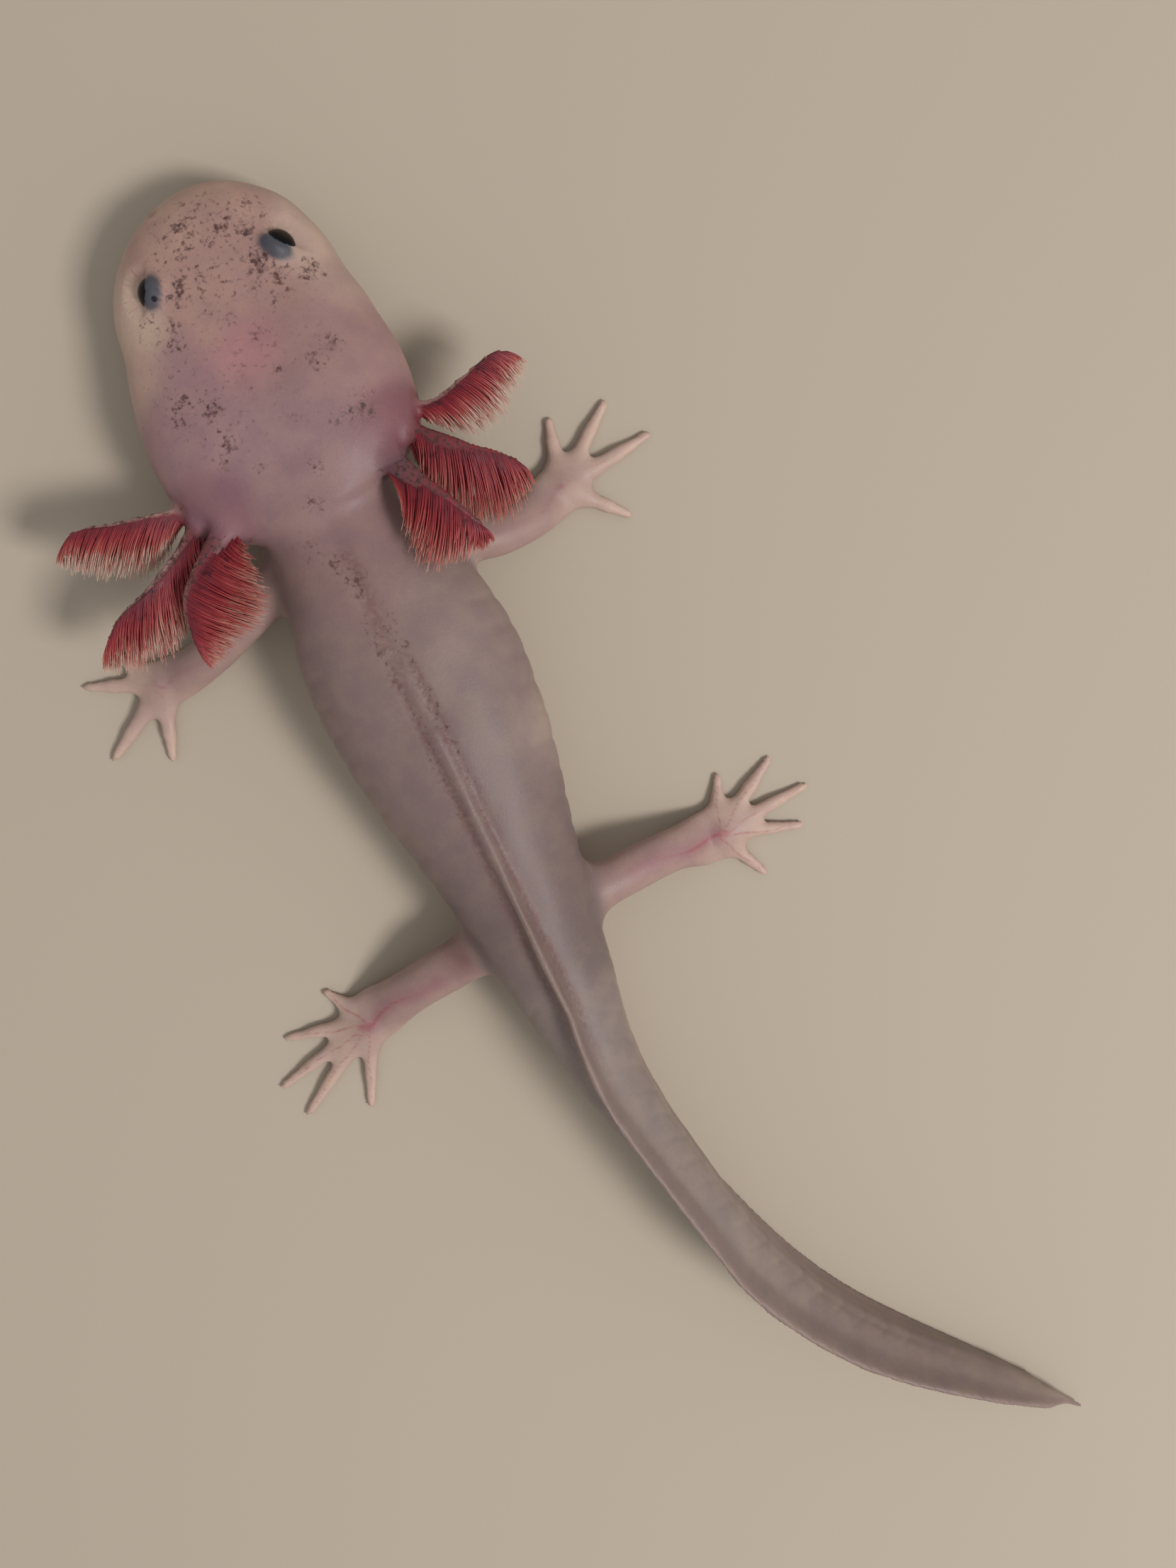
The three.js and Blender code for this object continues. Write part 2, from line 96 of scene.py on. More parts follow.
class Profile:
    """A smooth function through (place, value) knots that never overshoots between them."""

    def __init__(self, *knots: tuple[float, float]) -> None:
        """Works out the tangent at each knot.

        Args:
            knots: Pairs of place and value, in rising order of place.
        """
        self.places = np.array([place for place, _ in knots], float)
        self.values = np.array([value for _, value in knots], float)
        slopes = np.diff(self.values) / np.diff(self.places)
        product = slopes[:-1] * slopes[1:]
        total = np.where(product > 0, slopes[:-1] + slopes[1:], 1.0)
        inner = np.where(product > 0, 2 * product / total, 0.0)
        self.tangents = np.concatenate(([slopes[0]], inner, [slopes[-1]]))

    def __call__(self, place: Array | float) -> Array:
        """Gives the value at one place or at many.

        Args:
            place: The places.

        Returns:
            The values, one for each place.
        """
        x = np.clip(place, self.places[0], self.places[-1])
        i = np.clip(np.searchsorted(self.places, x, side="right") - 1, 0, len(self.places) - 2)
        width = self.places[i + 1] - self.places[i]
        t = (x - self.places[i]) / width
        rise = self.values[i] * (1 + 2 * t) * (1 - t) ** 2 + self.values[i + 1] * t * t * (3 - 2 * t)
        bend = self.tangents[i] * t * (1 - t) ** 2 - self.tangents[i + 1] * t * t * (1 - t)
        return rise + width * bend


def rounded(place: Array, reach: float) -> Array:
    """Gives the round end of the snout: 0 at its tip and 1 from `reach` on."""
    return np.sqrt(1 - (1 - np.clip(place / reach, 0, 1)) ** 2)


def ease(value: Array, low: float, high: float) -> Array:
    """Gives 0 below `low`, 1 above `high` and a smooth rise between them, or a fall if `high` is lower."""
    t = np.clip((value - low) / (high - low), 0, 1)
    return t * t * (3 - 2 * t)


def hill(distance: Array, reach: float) -> Array:
    """Gives a bell-shaped weight: 1 at no distance and about a third at `reach`."""
    return np.exp(-((distance / reach) ** 2))


def unit(vectors: Array) -> Array:
    """Gives vectors of length one along the last axis."""
    return vectors / np.maximum(np.linalg.norm(vectors, axis=-1, keepdims=True), 1e-12)


def turns(count: int) -> Array:
    """Gives evenly spaced angles round a circle."""
    return np.linspace(0, 2 * math.pi, count, endpoint=False)


def ball_ways(polar: Array, count: int) -> Array:
    """Gives unit directions round the z axis: a ring of `count` for each angle from the axis."""
    level, around = np.meshgrid(polar, turns(count), indexing="ij")
    return np.stack((np.sin(level) * np.cos(around), np.sin(level) * np.sin(around), np.cos(level)), 2)


class Thread:
    """A smooth space curve through points, such as the line of a leg or of a gill's stalk."""

    SAMPLES = 80
    SMALL = 1e-3

    def __init__(self, *points: Point) -> None:
        """Adds a point beyond each end, so that the curve reaches both.

        Args:
            points: The points.
        """
        inner = np.array(points, float)
        before = 2 * inner[0] - inner[1]
        after = 2 * inner[-1] - inner[-2]
        self.points = np.vstack((before, inner, after))

    def at(self, share: Array | float) -> Array:
        """Gives the curve's points at shares of its way, by centripetal Catmull-Rom.

        Args:
            share: Shares from 0 at the start to 1 at the end.

        Returns:
            The points, one row for each share.
        """
        shares = np.atleast_1d(np.asarray(share, float))
        stretches = len(self.points) - 3
        i = np.clip((shares * stretches).astype(int), 0, stretches - 1)
        t = (shares * stretches - i)[:, None]
        p0, p1, p2, p3 = (self.points[i + k] for k in range(4))
        spans = ((p0, p1), (p1, p2), (p2, p3))
        d0, d1, d2 = (np.sqrt(np.linalg.norm(b - a, axis=1))[:, None] for a, b in spans)
        start = ((p1 - p0) / d0 - (p2 - p0) / (d0 + d1) + (p2 - p1) / d1) * d1
        end = ((p2 - p1) / d1 - (p3 - p1) / (d1 + d2) + (p3 - p2) / d2) * d1
        square = -3 * p1 + 3 * p2 - 2 * start - end
        cube = 2 * p1 - 2 * p2 + start + end
        return p1 + start * t + square * t**2 + cube * t**3

    def along(self, share: Array | float) -> Array:
        """Gives the curve's unit direction at shares of its way."""
        shares = np.atleast_1d(np.asarray(share, float))
        onward = self.at(np.minimum(shares + self.SMALL, 1))
        return unit(onward - self.at(np.maximum(shares - self.SMALL, 0)))

    def sideways(self, share: Array | float) -> Array:
        """Gives the level unit direction square to the curve at shares of its way."""
        return unit(np.cross(self.along(share), UP))

    def sampled(self) -> Array:
        """Gives closely spaced points along the whole curve."""
        return self.at(np.linspace(0, 1, self.SAMPLES))

    def from_above(self, share: Array, wander: Array) -> Array:
        """Gives the curve's points seen from above, moved sideways by `wander` millimetres."""
        return (self.at(share) + wander[:, None] * self.sideways(share))[:, :2]


# ---- The body's midline and cross-sections ----

HEADING = Profile(
    (0, -1.5), (10, 2.5), (20, 1), (30, -2.5), (50, 1.5), (66, 2), (74, 0), (80, -5), (88, -10),
    (98, -13.3), (106, -17), (113, -23.5), (119, -30.5), (125, -36), (131, -37.2), (139, -35.5),
    (BODY_LENGTH, -33),
)
LEAN = Profile(
    (74, 0), (84, 6.3), (92, 7.8), (100, 10.5), (107, 14.5), (124, 15), (132, 12.5), (140, 10),
    (BODY_LENGTH, 7),
)


class Midline:
    """The line on the floor that the body is built along, bent by HEADING and leaning by LEAN."""

    SNOUT = (-0.35, -26.4)
    STEP = 0.25
    BATCH = 4000

    def __init__(self) -> None:
        """Walks along the heading in small steps."""
        self.places = np.arange(0, BODY_LENGTH + self.STEP, self.STEP)
        turn = np.radians(HEADING(self.places[:-1] + self.STEP / 2))
        steps = np.stack((np.sin(turn), np.cos(turn)), 1) * self.STEP
        self.feet = np.vstack(([self.SNOUT], np.array(self.SNOUT) + np.cumsum(steps, 0)))

    def axes(self, places: Array) -> tuple[Array, Array, Array, Array]:
        """Gives the axes of the cross-sections at places.

        Args:
            places: Distances along the midline.

        Returns:
            The sections' feet, and their side (left), up and along (tailwards) directions.
        """
        feet = np.stack([np.interp(places, self.places, self.feet[:, k]) for k in (0, 1)], 1)
        turn = np.radians(HEADING(places))
        tilt = np.radians(LEAN(places))
        flat = np.zeros_like(turn)
        along = np.stack((np.sin(turn), np.cos(turn), flat), 1)
        up = np.stack((np.cos(turn) * np.sin(tilt), -np.sin(turn) * np.sin(tilt), np.cos(tilt)), 1)
        return np.column_stack((feet, flat)), np.cross(along, up), up, along

    def locate(self, points: Array) -> tuple[Array, Array, Array]:
        """Finds where points lie on the body.

        Args:
            points: The points.

        Returns:
            Their place along the midline, how far left they lie, and how high.
        """
        nearest = np.empty(len(points), int)
        for start in range(0, len(points), self.BATCH):
            batch = slice(start, start + self.BATCH)
            gap = points[batch, None, :2] - self.feet[None]
            nearest[batch] = (gap**2).sum(2).argmin(1)
        feet, _, _, along = self.axes(self.places[nearest])
        places = self.places[nearest] + ((points - feet) * along).sum(1)
        feet, side, up, _ = self.axes(np.clip(places, 0, BODY_LENGTH))
        return places, ((points - feet) * side).sum(1), ((points - feet) * up).sum(1)


MIDLINE = Midline()


@dataclass(frozen=True)
class Flesh:
    """A length of the body's flesh, as profiles of its cross-sections.

    Attributes:
        half: Half width.
        back: Height of the back.
        belly: Height of the underside.
        widest: Height at which the section is widest.
        squareness: Exponent of the section's curve: 2 for an ellipse, more for squarer.
        snout: Whether it closes in on the snout's round end.
    """

    half: Profile
    back: Profile
    belly: Profile
    widest: Profile
    squareness: Profile
    snout: bool = False

    WIDE_ROUNDING = 9.0
    DEEP_ROUNDING = 7.0

    def sizes(self, places: Array) -> tuple[Array, Array, Array, Array]:
        """Gives the half width, back, belly and widest height at places."""
        half, back, belly = self.half(places), self.back(places), self.belly(places)
        if self.snout:
            half = half * rounded(places, self.WIDE_ROUNDING)
            closing = rounded(places, self.DEEP_ROUNDING)
            back = LIP_LEVEL + (back - LIP_LEVEL) * closing
            belly = LIP_LEVEL + (belly - LIP_LEVEL) * closing
        return half, back, belly, self.widest(places)

    def rings(self, places: Array, count: int) -> Array:
        """Gives the cross-sections' outlines.

        Args:
            places: The sections' places along the midline.
            count: Points of each outline.

        Returns:
            Points as sections by outline points by coordinates.
        """
        half, back, belly, widest = self.sizes(places)
        angle = turns(count)[None]
        power = (2 / self.squareness(places))[:, None]
        level = np.sign(np.cos(angle)) * np.abs(np.cos(angle)) ** power
        rise = np.sign(np.sin(angle)) * np.abs(np.sin(angle)) ** power
        reach = np.where(rise > 0, (back - widest)[:, None], (widest - belly)[:, None])
        return section_points(places, half[:, None] * level, widest[:, None] + reach * rise)


def section_points(places: Array, across: Array, height: Array) -> Array:
    """Gives points of cross-sections from how far left and how high they lie."""
    feet, side, up, _ = MIDLINE.axes(places)
    return feet[:, None] + across[..., None] * side[:, None] + height[..., None] * up[:, None]


HEAD = Flesh(
    half=Profile((0, 9.1), (6, 9.3), (9.5, 9.65), (13, 10.5), (16, 11.1), (19, 11.3), (22, 11),
                 (24, 10.4), (25.6, 9.3), (HEAD_END, 7.6)),
    back=Profile((0, 8.2), (5, 8.5), (9, 9.2), (14, 10.4), (19, 11.4), (23, 11.6), (HEAD_END, 10.8)),
    belly=Profile((0, 1.1), (9, 0.8), (16, 0.5), (22, 0.25), (HEAD_END, 0.5)),
    widest=Profile((0, LIP_LEVEL), (10, 4.2), (20, 5.2), (HEAD_END, 5.6)),
    squareness=Profile((0, 2.1), (12, 2.5), (HEAD_END, 2.5)),
    snout=True,
)
TRUNK = Flesh(
    half=Profile((24, 5.8), (27, 6), (31, 6.6), (34.5, 7.6), (38, 8.6), (43, 9.2), (49, 8.8), (54, 8),
                 (58, 7.2), (62, 6.4), (67, 5.6), (72, 5), (78, 3.95), (82, 3.3), (86, 2.8), (91, 2.35),
                 (97, 2.1), (110, 1.65), (124, 1.2), (138, 0.75), (BODY_LENGTH, 0.32)),
    back=Profile((24, 10.4), (29, 10.8), (36, 12.2), (42, 13.2), (48, 13.4), (56, 13), (64, 12.2),
                 (72, 11.4), (80, 10.6), (90, 9.6), (105, 8.3), (118, 6.9), (130, 5.1), (140, 3.2),
                 (BODY_LENGTH, 1.0)),
    belly=Profile((24, 0.5), (30, 0), (36, -0.4), (76, -0.3), (82, 0.9), (88, 1.7), (97, 2.3), (110, 2.5),
                  (125, 2), (138, 1.1), (BODY_LENGTH, 0.3)),
    widest=Profile((24, 5.4), (36, 5.8), (60, 5.7), (80, 5.5), (100, 5.4), (112, 4.8), (125, 3.7),
                   (138, 2.2), (BODY_LENGTH, 0.7)),
    squareness=Profile((24, 2.3), (36, 2.3), (60, 2.2), (80, 2.05), (BODY_LENGTH, 2)),
)
CREST = Profile(
    (40, 13.2), (48, 14.2), (54, 14.4), (60, 14), (70, 13.5), (80, 13.2), (92, 12.7), (104, 11.9),
    (115, 10.5), (126, 8.8), (135, 6.8), (142, 4.1), (BODY_LENGTH, 1.1),
)
KEEL = Profile((80, 0.5), (87, -0.3), (136, -0.3), (143, 0), (BODY_LENGTH, 0.4))


# ---- Shells and the field that joins them ----


@dataclass
class Shell:
    """A closed surface, in millimetres.

    Attributes:
        points: Its points.
        triangles: Its faces, as rows of three point numbers.
    """

    points: Array
    triangles: Array


def lofted(rings: Array) -> Shell:
    """Makes a closed shell through rings of points, with a fan over each end.

    Args:
        rings: Points as rings by points by coordinates.

    Returns:
        The shell.
    """
    rows, count = rings.shape[:2]
    turn = np.arange(count)
    onward = (turn + 1) % count
    row = np.arange(rows - 1)[:, None] * count
    here, following = (row + turn).ravel(), (row + onward).ravel()
    walls = np.vstack((
        np.stack((here, here + count, following), 1),
        np.stack((following, here + count, following + count), 1),
    ))
    first, last = rows * count, rows * count + 1
    caps = np.vstack((
        np.stack((np.full(count, first), turn, onward), 1),
        np.stack((np.full(count, last), onward + first - count, turn + first - count), 1),
    ))
    points = np.vstack((rings.reshape(-1, 3), rings[0].mean(0), rings[-1].mean(0)))
    return Shell(points, np.vstack((walls, caps)))


def tube(thread: Thread, shares: Array, wide: Array, high: Array, count: int = 20) -> Shell:
    """Makes a tube along a thread.

    Args:
        thread: The tube's centreline.
        shares: Where its rings lie on the thread.
        wide: The rings' half widths, level with the floor.
        high: Their half heights.
        count: Points of each ring.

    Returns:
        The tube.
    """
    side = thread.sideways(shares)
    up = np.cross(side, thread.along(shares))
    angle = turns(count)[None, :, None]
    across = (wide[:, None] * side)[:, None] * np.cos(angle)
    rise = (high[:, None] * up)[:, None] * np.sin(angle)
    return lofted(thread.at(shares)[:, None] + across + rise)


def ball(centre: Array, radius: float, count: int = 40) -> Shell:
    """Makes a ball."""
    polar = np.linspace(0.02, math.pi - 0.02, count)
    return lofted(np.asarray(centre) + radius * ball_ways(polar, count))


class FleshField:
    """A signed distance field over the whole animal, negative inside, that shells are merged into."""

    VOXEL = 0.3
    BAND = 8

    def __init__(self, low: Array, high: Array) -> None:
        """Makes an empty field.

        Args:
            low: Lowest corner of the shells' space.
            high: Its highest corner.
        """
        self.corner = np.floor(low / self.VOXEL).astype(int) - self.BAND
        size = np.ceil(high / self.VOXEL).astype(int) + self.BAND - self.corner
        self.far = self.VOXEL * self.BAND
        self.values = np.full(size, self.far, np.float32)
        self.transform = vdb.createLinearTransform(voxelSize=self.VOXEL)

    def add(self, shell: Shell, blend: float) -> None:
        """Merges a shell in, with a fillet where it meets what is there.

        Args:
            shell: The shell.
            blend: How softly it merges. 0 leaves a crease.
        """
        grid = vdb.FloatGrid.createLevelSetFromPolygons(
            shell.points.astype(np.float32), triangles=shell.triangles.astype(np.uint32),
            transform=self.transform, exBandWidth=float(self.BAND), inBandWidth=float(self.BAND),
        )
        start = np.floor(shell.points.min(0) / self.VOXEL).astype(int) - self.BAND
        stop = np.ceil(shell.points.max(0) / self.VOXEL).astype(int) + self.BAND
        start = np.maximum(start, self.corner)
        stop = np.minimum(stop, self.corner + self.values.shape)
        block = np.empty(stop - start, np.float32)
        grid.copyToArray(block, ijk=tuple(int(n) for n in start))
        window = tuple(slice(a, b) for a, b in zip(start - self.corner, stop - self.corner))
        old = self.values[window]
        merged = np.minimum(old, block)
        if blend > 0:
            merged -= self.fillet(old, block, blend)
        self.values[window] = merged

    @staticmethod
    def fillet(first: Array, second: Array, blend: float) -> Array:
        """Gives how far the corner between two fields is rounded, over `blend` millimetres."""
        return (np.maximum(blend - np.abs(first - second), 0) / blend) ** 2 * (blend / 4)

    def rest_on_floor(self, edge: float) -> None:
        """Cuts away what lies below the floor, and rounds the edge of the flats by `edge` millimetres."""
        heights = (np.arange(self.values.shape[2]) + self.corner[2]) * self.VOXEL
        below = -heights[None, None].astype(np.float32)
        self.values = np.maximum(self.values, below) + self.fillet(self.values, below, edge)

    def surface(self) -> tuple[Array, Array]:
        """Meshes the field.

        Returns:
            The points, and the faces as rows of four point numbers.
        """
        grid = vdb.FloatGrid(self.far)
        grid.copyFromArray(self.values, ijk=tuple(int(n) for n in self.corner))
        grid.transform = self.transform
        points, quads = grid.convertToQuads(isovalue=0.0)
        points = points.astype(float)
        quads = quads.astype(np.int64)
        a, b, c, d = (points[quads[:, k]] for k in range(4))
        volume = (a * (np.cross(b, c) + np.cross(c, d))).sum()
        return points, quads if volume > 0 else quads[:, ::-1]


def face_normals(points: Array, quads: Array) -> Array:
    """Gives each point's normal, as the mean of its faces'."""
    faces = np.cross(points[quads[:, 2]] - points[quads[:, 0]], points[quads[:, 3]] - points[quads[:, 1]])
    normals = np.zeros_like(points)
    for k in range(4):
        for axis in range(3):
            normals[:, axis] += np.bincount(quads[:, k], faces[:, axis], len(points))
    return unit(normals)


PUSHES = (0.5, -0.52)


def relaxed(points: Array, quads: Array, rounds: int) -> Array:
    """Smooths a mesh without shrinking it, by steps in and out.

    Args:
        points: The mesh's points.
        quads: Its faces.
        rounds: How often it is smoothed.

    Returns:
        The new points.
    """
    start = quads.ravel()
    end = np.roll(quads, -1, 1).ravel()
    degree = np.bincount(start, minlength=len(points)) + np.bincount(end, minlength=len(points))
    for _ in range(rounds):
        for push in PUSHES:
            mean = np.empty_like(points)
            for axis in range(3):
                near = np.bincount(start, points[end, axis], len(points))
                near += np.bincount(end, points[start, axis], len(points))
                mean[:, axis] = near / degree
            points = points + push * (mean - points)
    return points


# ---- Head, trunk, tail and fins ----


@dataclass
class Body:
    """The head, trunk and tail, with the fins on them.

    Attributes:
        neck_start: Where the neck begins, inside the head.
        neck_blend: How softly the neck runs into the head.
        fin_blend: How softly a fin leaves the flesh.
        fin_root: A fin's thickness at its root.
        fin_edge: Its thickness at its edge.
        dorsal: Where the dorsal fin starts and ends.
        ventral: Where the ventral fin does.
        rise: Length over which a fin rises.
    """

    neck_start: float = 24.5
    neck_blend: float = 2.6
    fin_blend: float = 1.0
    fin_root: float = 1.3
    fin_edge: float = 0.56
    dorsal: tuple[float, float] = (47.0, 146.9)
    ventral: tuple[float, float] = (82.0, 141.0)
    rise: float = 26.0

    HEAD_START = 0.03
    HEAD_SECTIONS = 90
    HEAD_CROWDING = 1.7
    HEAD_POINTS = 110
    TRUNK_SECTIONS = 300
    TRUNK_POINTS = 90
    FIN_STEP = 0.5
    FIN_EDGE_POINTS = 9
    ROOT_DEPTHS = (0.2, 1.2)
    ROOT_SHARE = 0.35

    def merge_into(self, space: FleshField) -> None:
        """Merges the body and its fins into the field."""
        share = np.linspace(0, 1, self.HEAD_SECTIONS) ** self.HEAD_CROWDING
        head = HEAD.rings(self.HEAD_START + (HEAD_END - self.HEAD_START) * share, self.HEAD_POINTS)
        trunk = TRUNK.rings(np.linspace(self.neck_start, BODY_LENGTH, self.TRUNK_SECTIONS), self.TRUNK_POINTS)
        space.add(lofted(head), 0)
        space.add(lofted(trunk), self.neck_blend)
        space.add(self.fin(*self.dorsal, TRUNK.back, CREST), self.fin_blend)
        space.add(self.fin(*self.ventral, TRUNK.belly, KEEL), self.fin_blend)

    def fin(self, start: float, end: float, flesh: Profile, edge: Profile) -> Shell:
        """Makes a fin as a thin blade with a round edge.

        Args:
            start: Where it starts on the body.
            end: Where it ends.
            flesh: Height of the flesh that it grows from.
            edge: Height of its edge.

        Returns:
            The fin.
        """
        places = np.linspace(start, end, int((end - start) / self.FIN_STEP))
        base, top = flesh(places), edge(places)
        outward = np.sign(top.mean() - base.mean())
        depth = np.clip(self.ROOT_SHARE * (TRUNK.back(places) - TRUNK.belly(places)), *self.ROOT_DEPTHS)
        inner = (base - outward * depth)[:, None]
        growth = ease(places, start, start + self.rise)
        outer = (base + (top - base) * growth)[:, None]
        turn = np.linspace(0, math.pi, self.FIN_EDGE_POINTS)[None]
        half = self.fin_edge / 2
        rim = outer - outward * half
        across = np.hstack((
            np.full_like(inner, self.fin_root / 2),
            np.broadcast_to(half * np.cos(turn), (len(places), self.FIN_EDGE_POINTS)),
            np.full_like(inner, -self.fin_root / 2),
        ))
        height = np.hstack((inner, rim + outward * half * np.sin(turn), inner))
        return lofted(section_points(places, across, height))


# ---- Legs ----


@dataclass
class Leg:
    """A leg with its toes.

    Attributes:
        joints: Points from inside the body to the front of the palm.
        halves: Half widths at those points.
        toes: Where the toes' tips touch the floor.
        heights: Half heights at the joints.
        toe_root: A toe's half width at the palm.
        toe_tip: Its half width near the tip.
        palm: Share of the leg at which the toes meet.
        pallor: How much less blood shows, as a distance from it.
    """

    joints: tuple[Point, ...]
    halves: tuple[float, ...]
    toes: tuple[tuple[float, float], ...]
    heights: tuple[float, ...] = (1.9, 1.65, 1.4, 1.06, 0.66)
    toe_root: float = 0.98
    toe_tip: float = 0.36
    palm: float = 0.86
    pallor: float = 0.0

    BODY_BLEND = 1.8
    TOE_BLEND = 1.1
    TOE_LEVEL = 0.7
    TOE_TIP_LEVEL = 0.27
    TOE_FLATNESS = 0.8
    KNUCKLES = (0.34, 0.64)
    KNUCKLE_SWELLING = 0.09
    KNUCKLE_LENGTH = 0.07
    WAIST_SHIFT = 0.14
    WAIST_DEPTH = 0.05
    WAIST_LENGTH = 0.08
    TIP_START = 0.93
    SECTIONS = 70
    TOE_SECTIONS = 48
    VESSEL_POINTS = 90

    @property
    def line(self) -> Thread:
        """The leg's centreline."""
        return Thread(*self.joints)

    def toe_line(self, tip: tuple[float, float]) -> Thread:
        """Gives the centreline of the toe with that tip, a little arched."""
        start = self.line.at(self.palm)[0]
        start[2] = self.TOE_LEVEL
        end = np.array([*tip, self.TOE_TIP_LEVEL])
        middle = start * 0.25 + end * 0.25 + 0.5 * np.array([*(start + end)[:2] / 2, self.TOE_LEVEL])
        return Thread(tuple(start), tuple(middle), tuple(end))

    def toe_halves(self, shares: Array) -> Array:
        """Gives a toe's half width at shares of its way, with its knuckles and round tip."""
        half = self.toe_root + (self.toe_tip - self.toe_root) * shares
        for knuckle in self.KNUCKLES:
            swelling = self.KNUCKLE_SWELLING * hill(shares - knuckle, self.KNUCKLE_LENGTH)
            waist = self.WAIST_DEPTH * hill(shares - knuckle - self.WAIST_SHIFT, self.WAIST_LENGTH)
            half = half * (1 + swelling - waist)
        beyond = np.clip((shares - self.TIP_START) / (1 - self.TIP_START), 0, 1)
        return half * np.sqrt(np.clip(1 - beyond**2, 0.02, 1))

    def merge_into(self, space: FleshField) -> None:
        """Merges the leg and its toes into the field."""
        shares = np.linspace(0, 1, self.SECTIONS)
        knots = np.linspace(0, 1, len(self.halves))
        wide = Profile(*zip(knots, self.halves))(shares)
        high = Profile(*zip(knots, self.heights))(shares)
        space.add(tube(self.line, shares, wide, high, 28), self.BODY_BLEND)
        shares = np.linspace(0, 1, self.TOE_SECTIONS)
        half = self.toe_halves(shares)
        for tip in self.toes:
            space.add(tube(self.toe_line(tip), shares, half, half * self.TOE_FLATNESS, 16), self.TOE_BLEND)

    def artery(self) -> Array:
        """Gives the line of blood along the leg, seen from above."""
        shares = np.linspace(0.3, self.palm, self.VESSEL_POINTS)
        return self.line.from_above(shares, 0.28 * np.sin(shares * 13))

    def vessels(self) -> list[Array]:
        """Gives the fine lines that run from the palm along each toe, seen from above."""
        shares = np.linspace(0, 0.9, self.VESSEL_POINTS)
        lines = []
        for number, tip in enumerate(self.toes):
            wander = 0.16 * np.sin(shares * 9 + number) * np.sin(shares * math.pi)
            lines.append(self.toe_line(tip).from_above(shares, wander))
        return lines


LEGS = (
    Leg(
        joints=((-4.5, 4.6, 5.2), (-10.8, 8.7, 3.7), (-14.6, 8.9, 2.3), (-17.6, 8, 1), (-19.4, 7.6, 0.6)),
        halves=(2.2, 1.8, 1.85, 2.15, 1.9), pallor=0.7,
        toes=((-19.9, 1.8), (-25.1, 2.7), (-27.5, 6.9), (-23, 12.7)),
    ),
    Leg(
        joints=((4.5, 3.6, 5.2), (12.6, 6.6, 3.7), (16.8, 7.7, 2.3), (20, 7.9, 1), (21.8, 7.9, 0.6)),
        halves=(2.2, 1.8, 1.85, 2.15, 1.9), pallor=0.7,
        toes=((23.6, 3.9), (27.6, 5.1), (28.5, 12.1), (23.7, 14.5)),
    ),
    Leg(
        joints=((-1.5, 40.9, 5.2), (-8.6, 40.8, 4.5), (-13.4, 41.2, 2.8), (-16.8, 42, 1), (-18.8, 42.4, 0.6)),
        halves=(2.5, 2, 1.95, 2.6, 2.3),
        toes=((-20.2, 37), (-25.2, 37.8), (-27.3, 41.7), (-25.5, 45.1), (-20.4, 48)),
    ),
    Leg(
        joints=((2.5, 40.6, 5.2), (9.6, 41.7, 4.5), (14.4, 42.7, 2.8), (18.2, 43.8, 1), (20.2, 44.5, 0.6)),
        halves=(2.6, 2.2, 2.15, 2.6, 2.3),
        toes=((21.9, 39.7), (27.4, 42.4), (30.1, 46.7), (29.2, 50.3), (23.3, 52.3)),
    ),
)


# ---- Gills ----


@dataclass
class Gill:
    """A gill: a stalk with rows of filaments.

    Attributes:
        name: The part's node that it stands for.
        stalk: Its stalk's points, from the head out.
        tips: Points of the line that the filaments' tips reach.
        root: The stalk's half width at the head.
        bare: Share of the stalk that filaments leave bare above.
        margin: How strongly its pale front margin shows.
        paleness: How pale the filaments' tips are.
        start: Share of the stalk where the filaments begin.
        end: Where they end.
    """

    name: str
    stalk: tuple[Point, ...]
    tips: tuple[Point, ...]
    root: float = 0.74
    bare: float = 0.07
    margin: float = 1.0
    paleness: float = 1.0
    start: float = 0.05
    end: float = 0.88

    STALK_TIP = 0.15
    STALK_FLATNESS = 0.66
    TAPER = 0.75
    HEAD_BLEND = 1.0
    FULL_LIFT = 4.0
    SWEEP = 0.07
    SECTIONS = 60

    @property
    def line(self) -> Thread:
        """The stalk's centreline."""
        return Thread(*self.stalk)

    def half_width(self, shares: Array) -> Array:
        """Gives the stalk's half width at shares of its way."""
        return self.root + (self.STALK_TIP - self.root) * shares**self.TAPER

    def merge_into(self, space: FleshField) -> None:
        """Merges the stalk into the field."""
        shares = np.linspace(0, self.end, self.SECTIONS)
        half = self.half_width(shares)
        space.add(tube(self.line, shares, half, half * self.STALK_FLATNESS, 18), self.HEAD_BLEND)

    def hang(self, shares: Array, lift: float) -> tuple[Array, Array]:
        """Gives the roots of a row of filaments and the way from each to its tip.

        Args:
            shares: The roots' shares of the stalk.
            lift: How far the row's tips are lifted.

        Returns:
            The roots and the ways to the tips.
        """
        roots = self.line.at(shares)
        onward = np.clip((shares - self.start) / (self.end - self.start), 0, 1)
        ends = Thread(*self.tips).at(onward + self.SWEEP * np.sin(math.pi * onward))
        ends[:, 2] += lift * np.minimum(1, np.linalg.norm(ends - roots, axis=1) / self.FULL_LIFT)
        return roots, ends - roots

    def outward(self, shares: Array) -> Array:
        """Gives the unit ways, square to the stalk, from it towards its filaments' tips."""
        _, hang = self.hang(shares, 0)
        lead = self.line.along(shares)
        return unit(hang - (hang * lead).sum(1)[:, None] * lead)


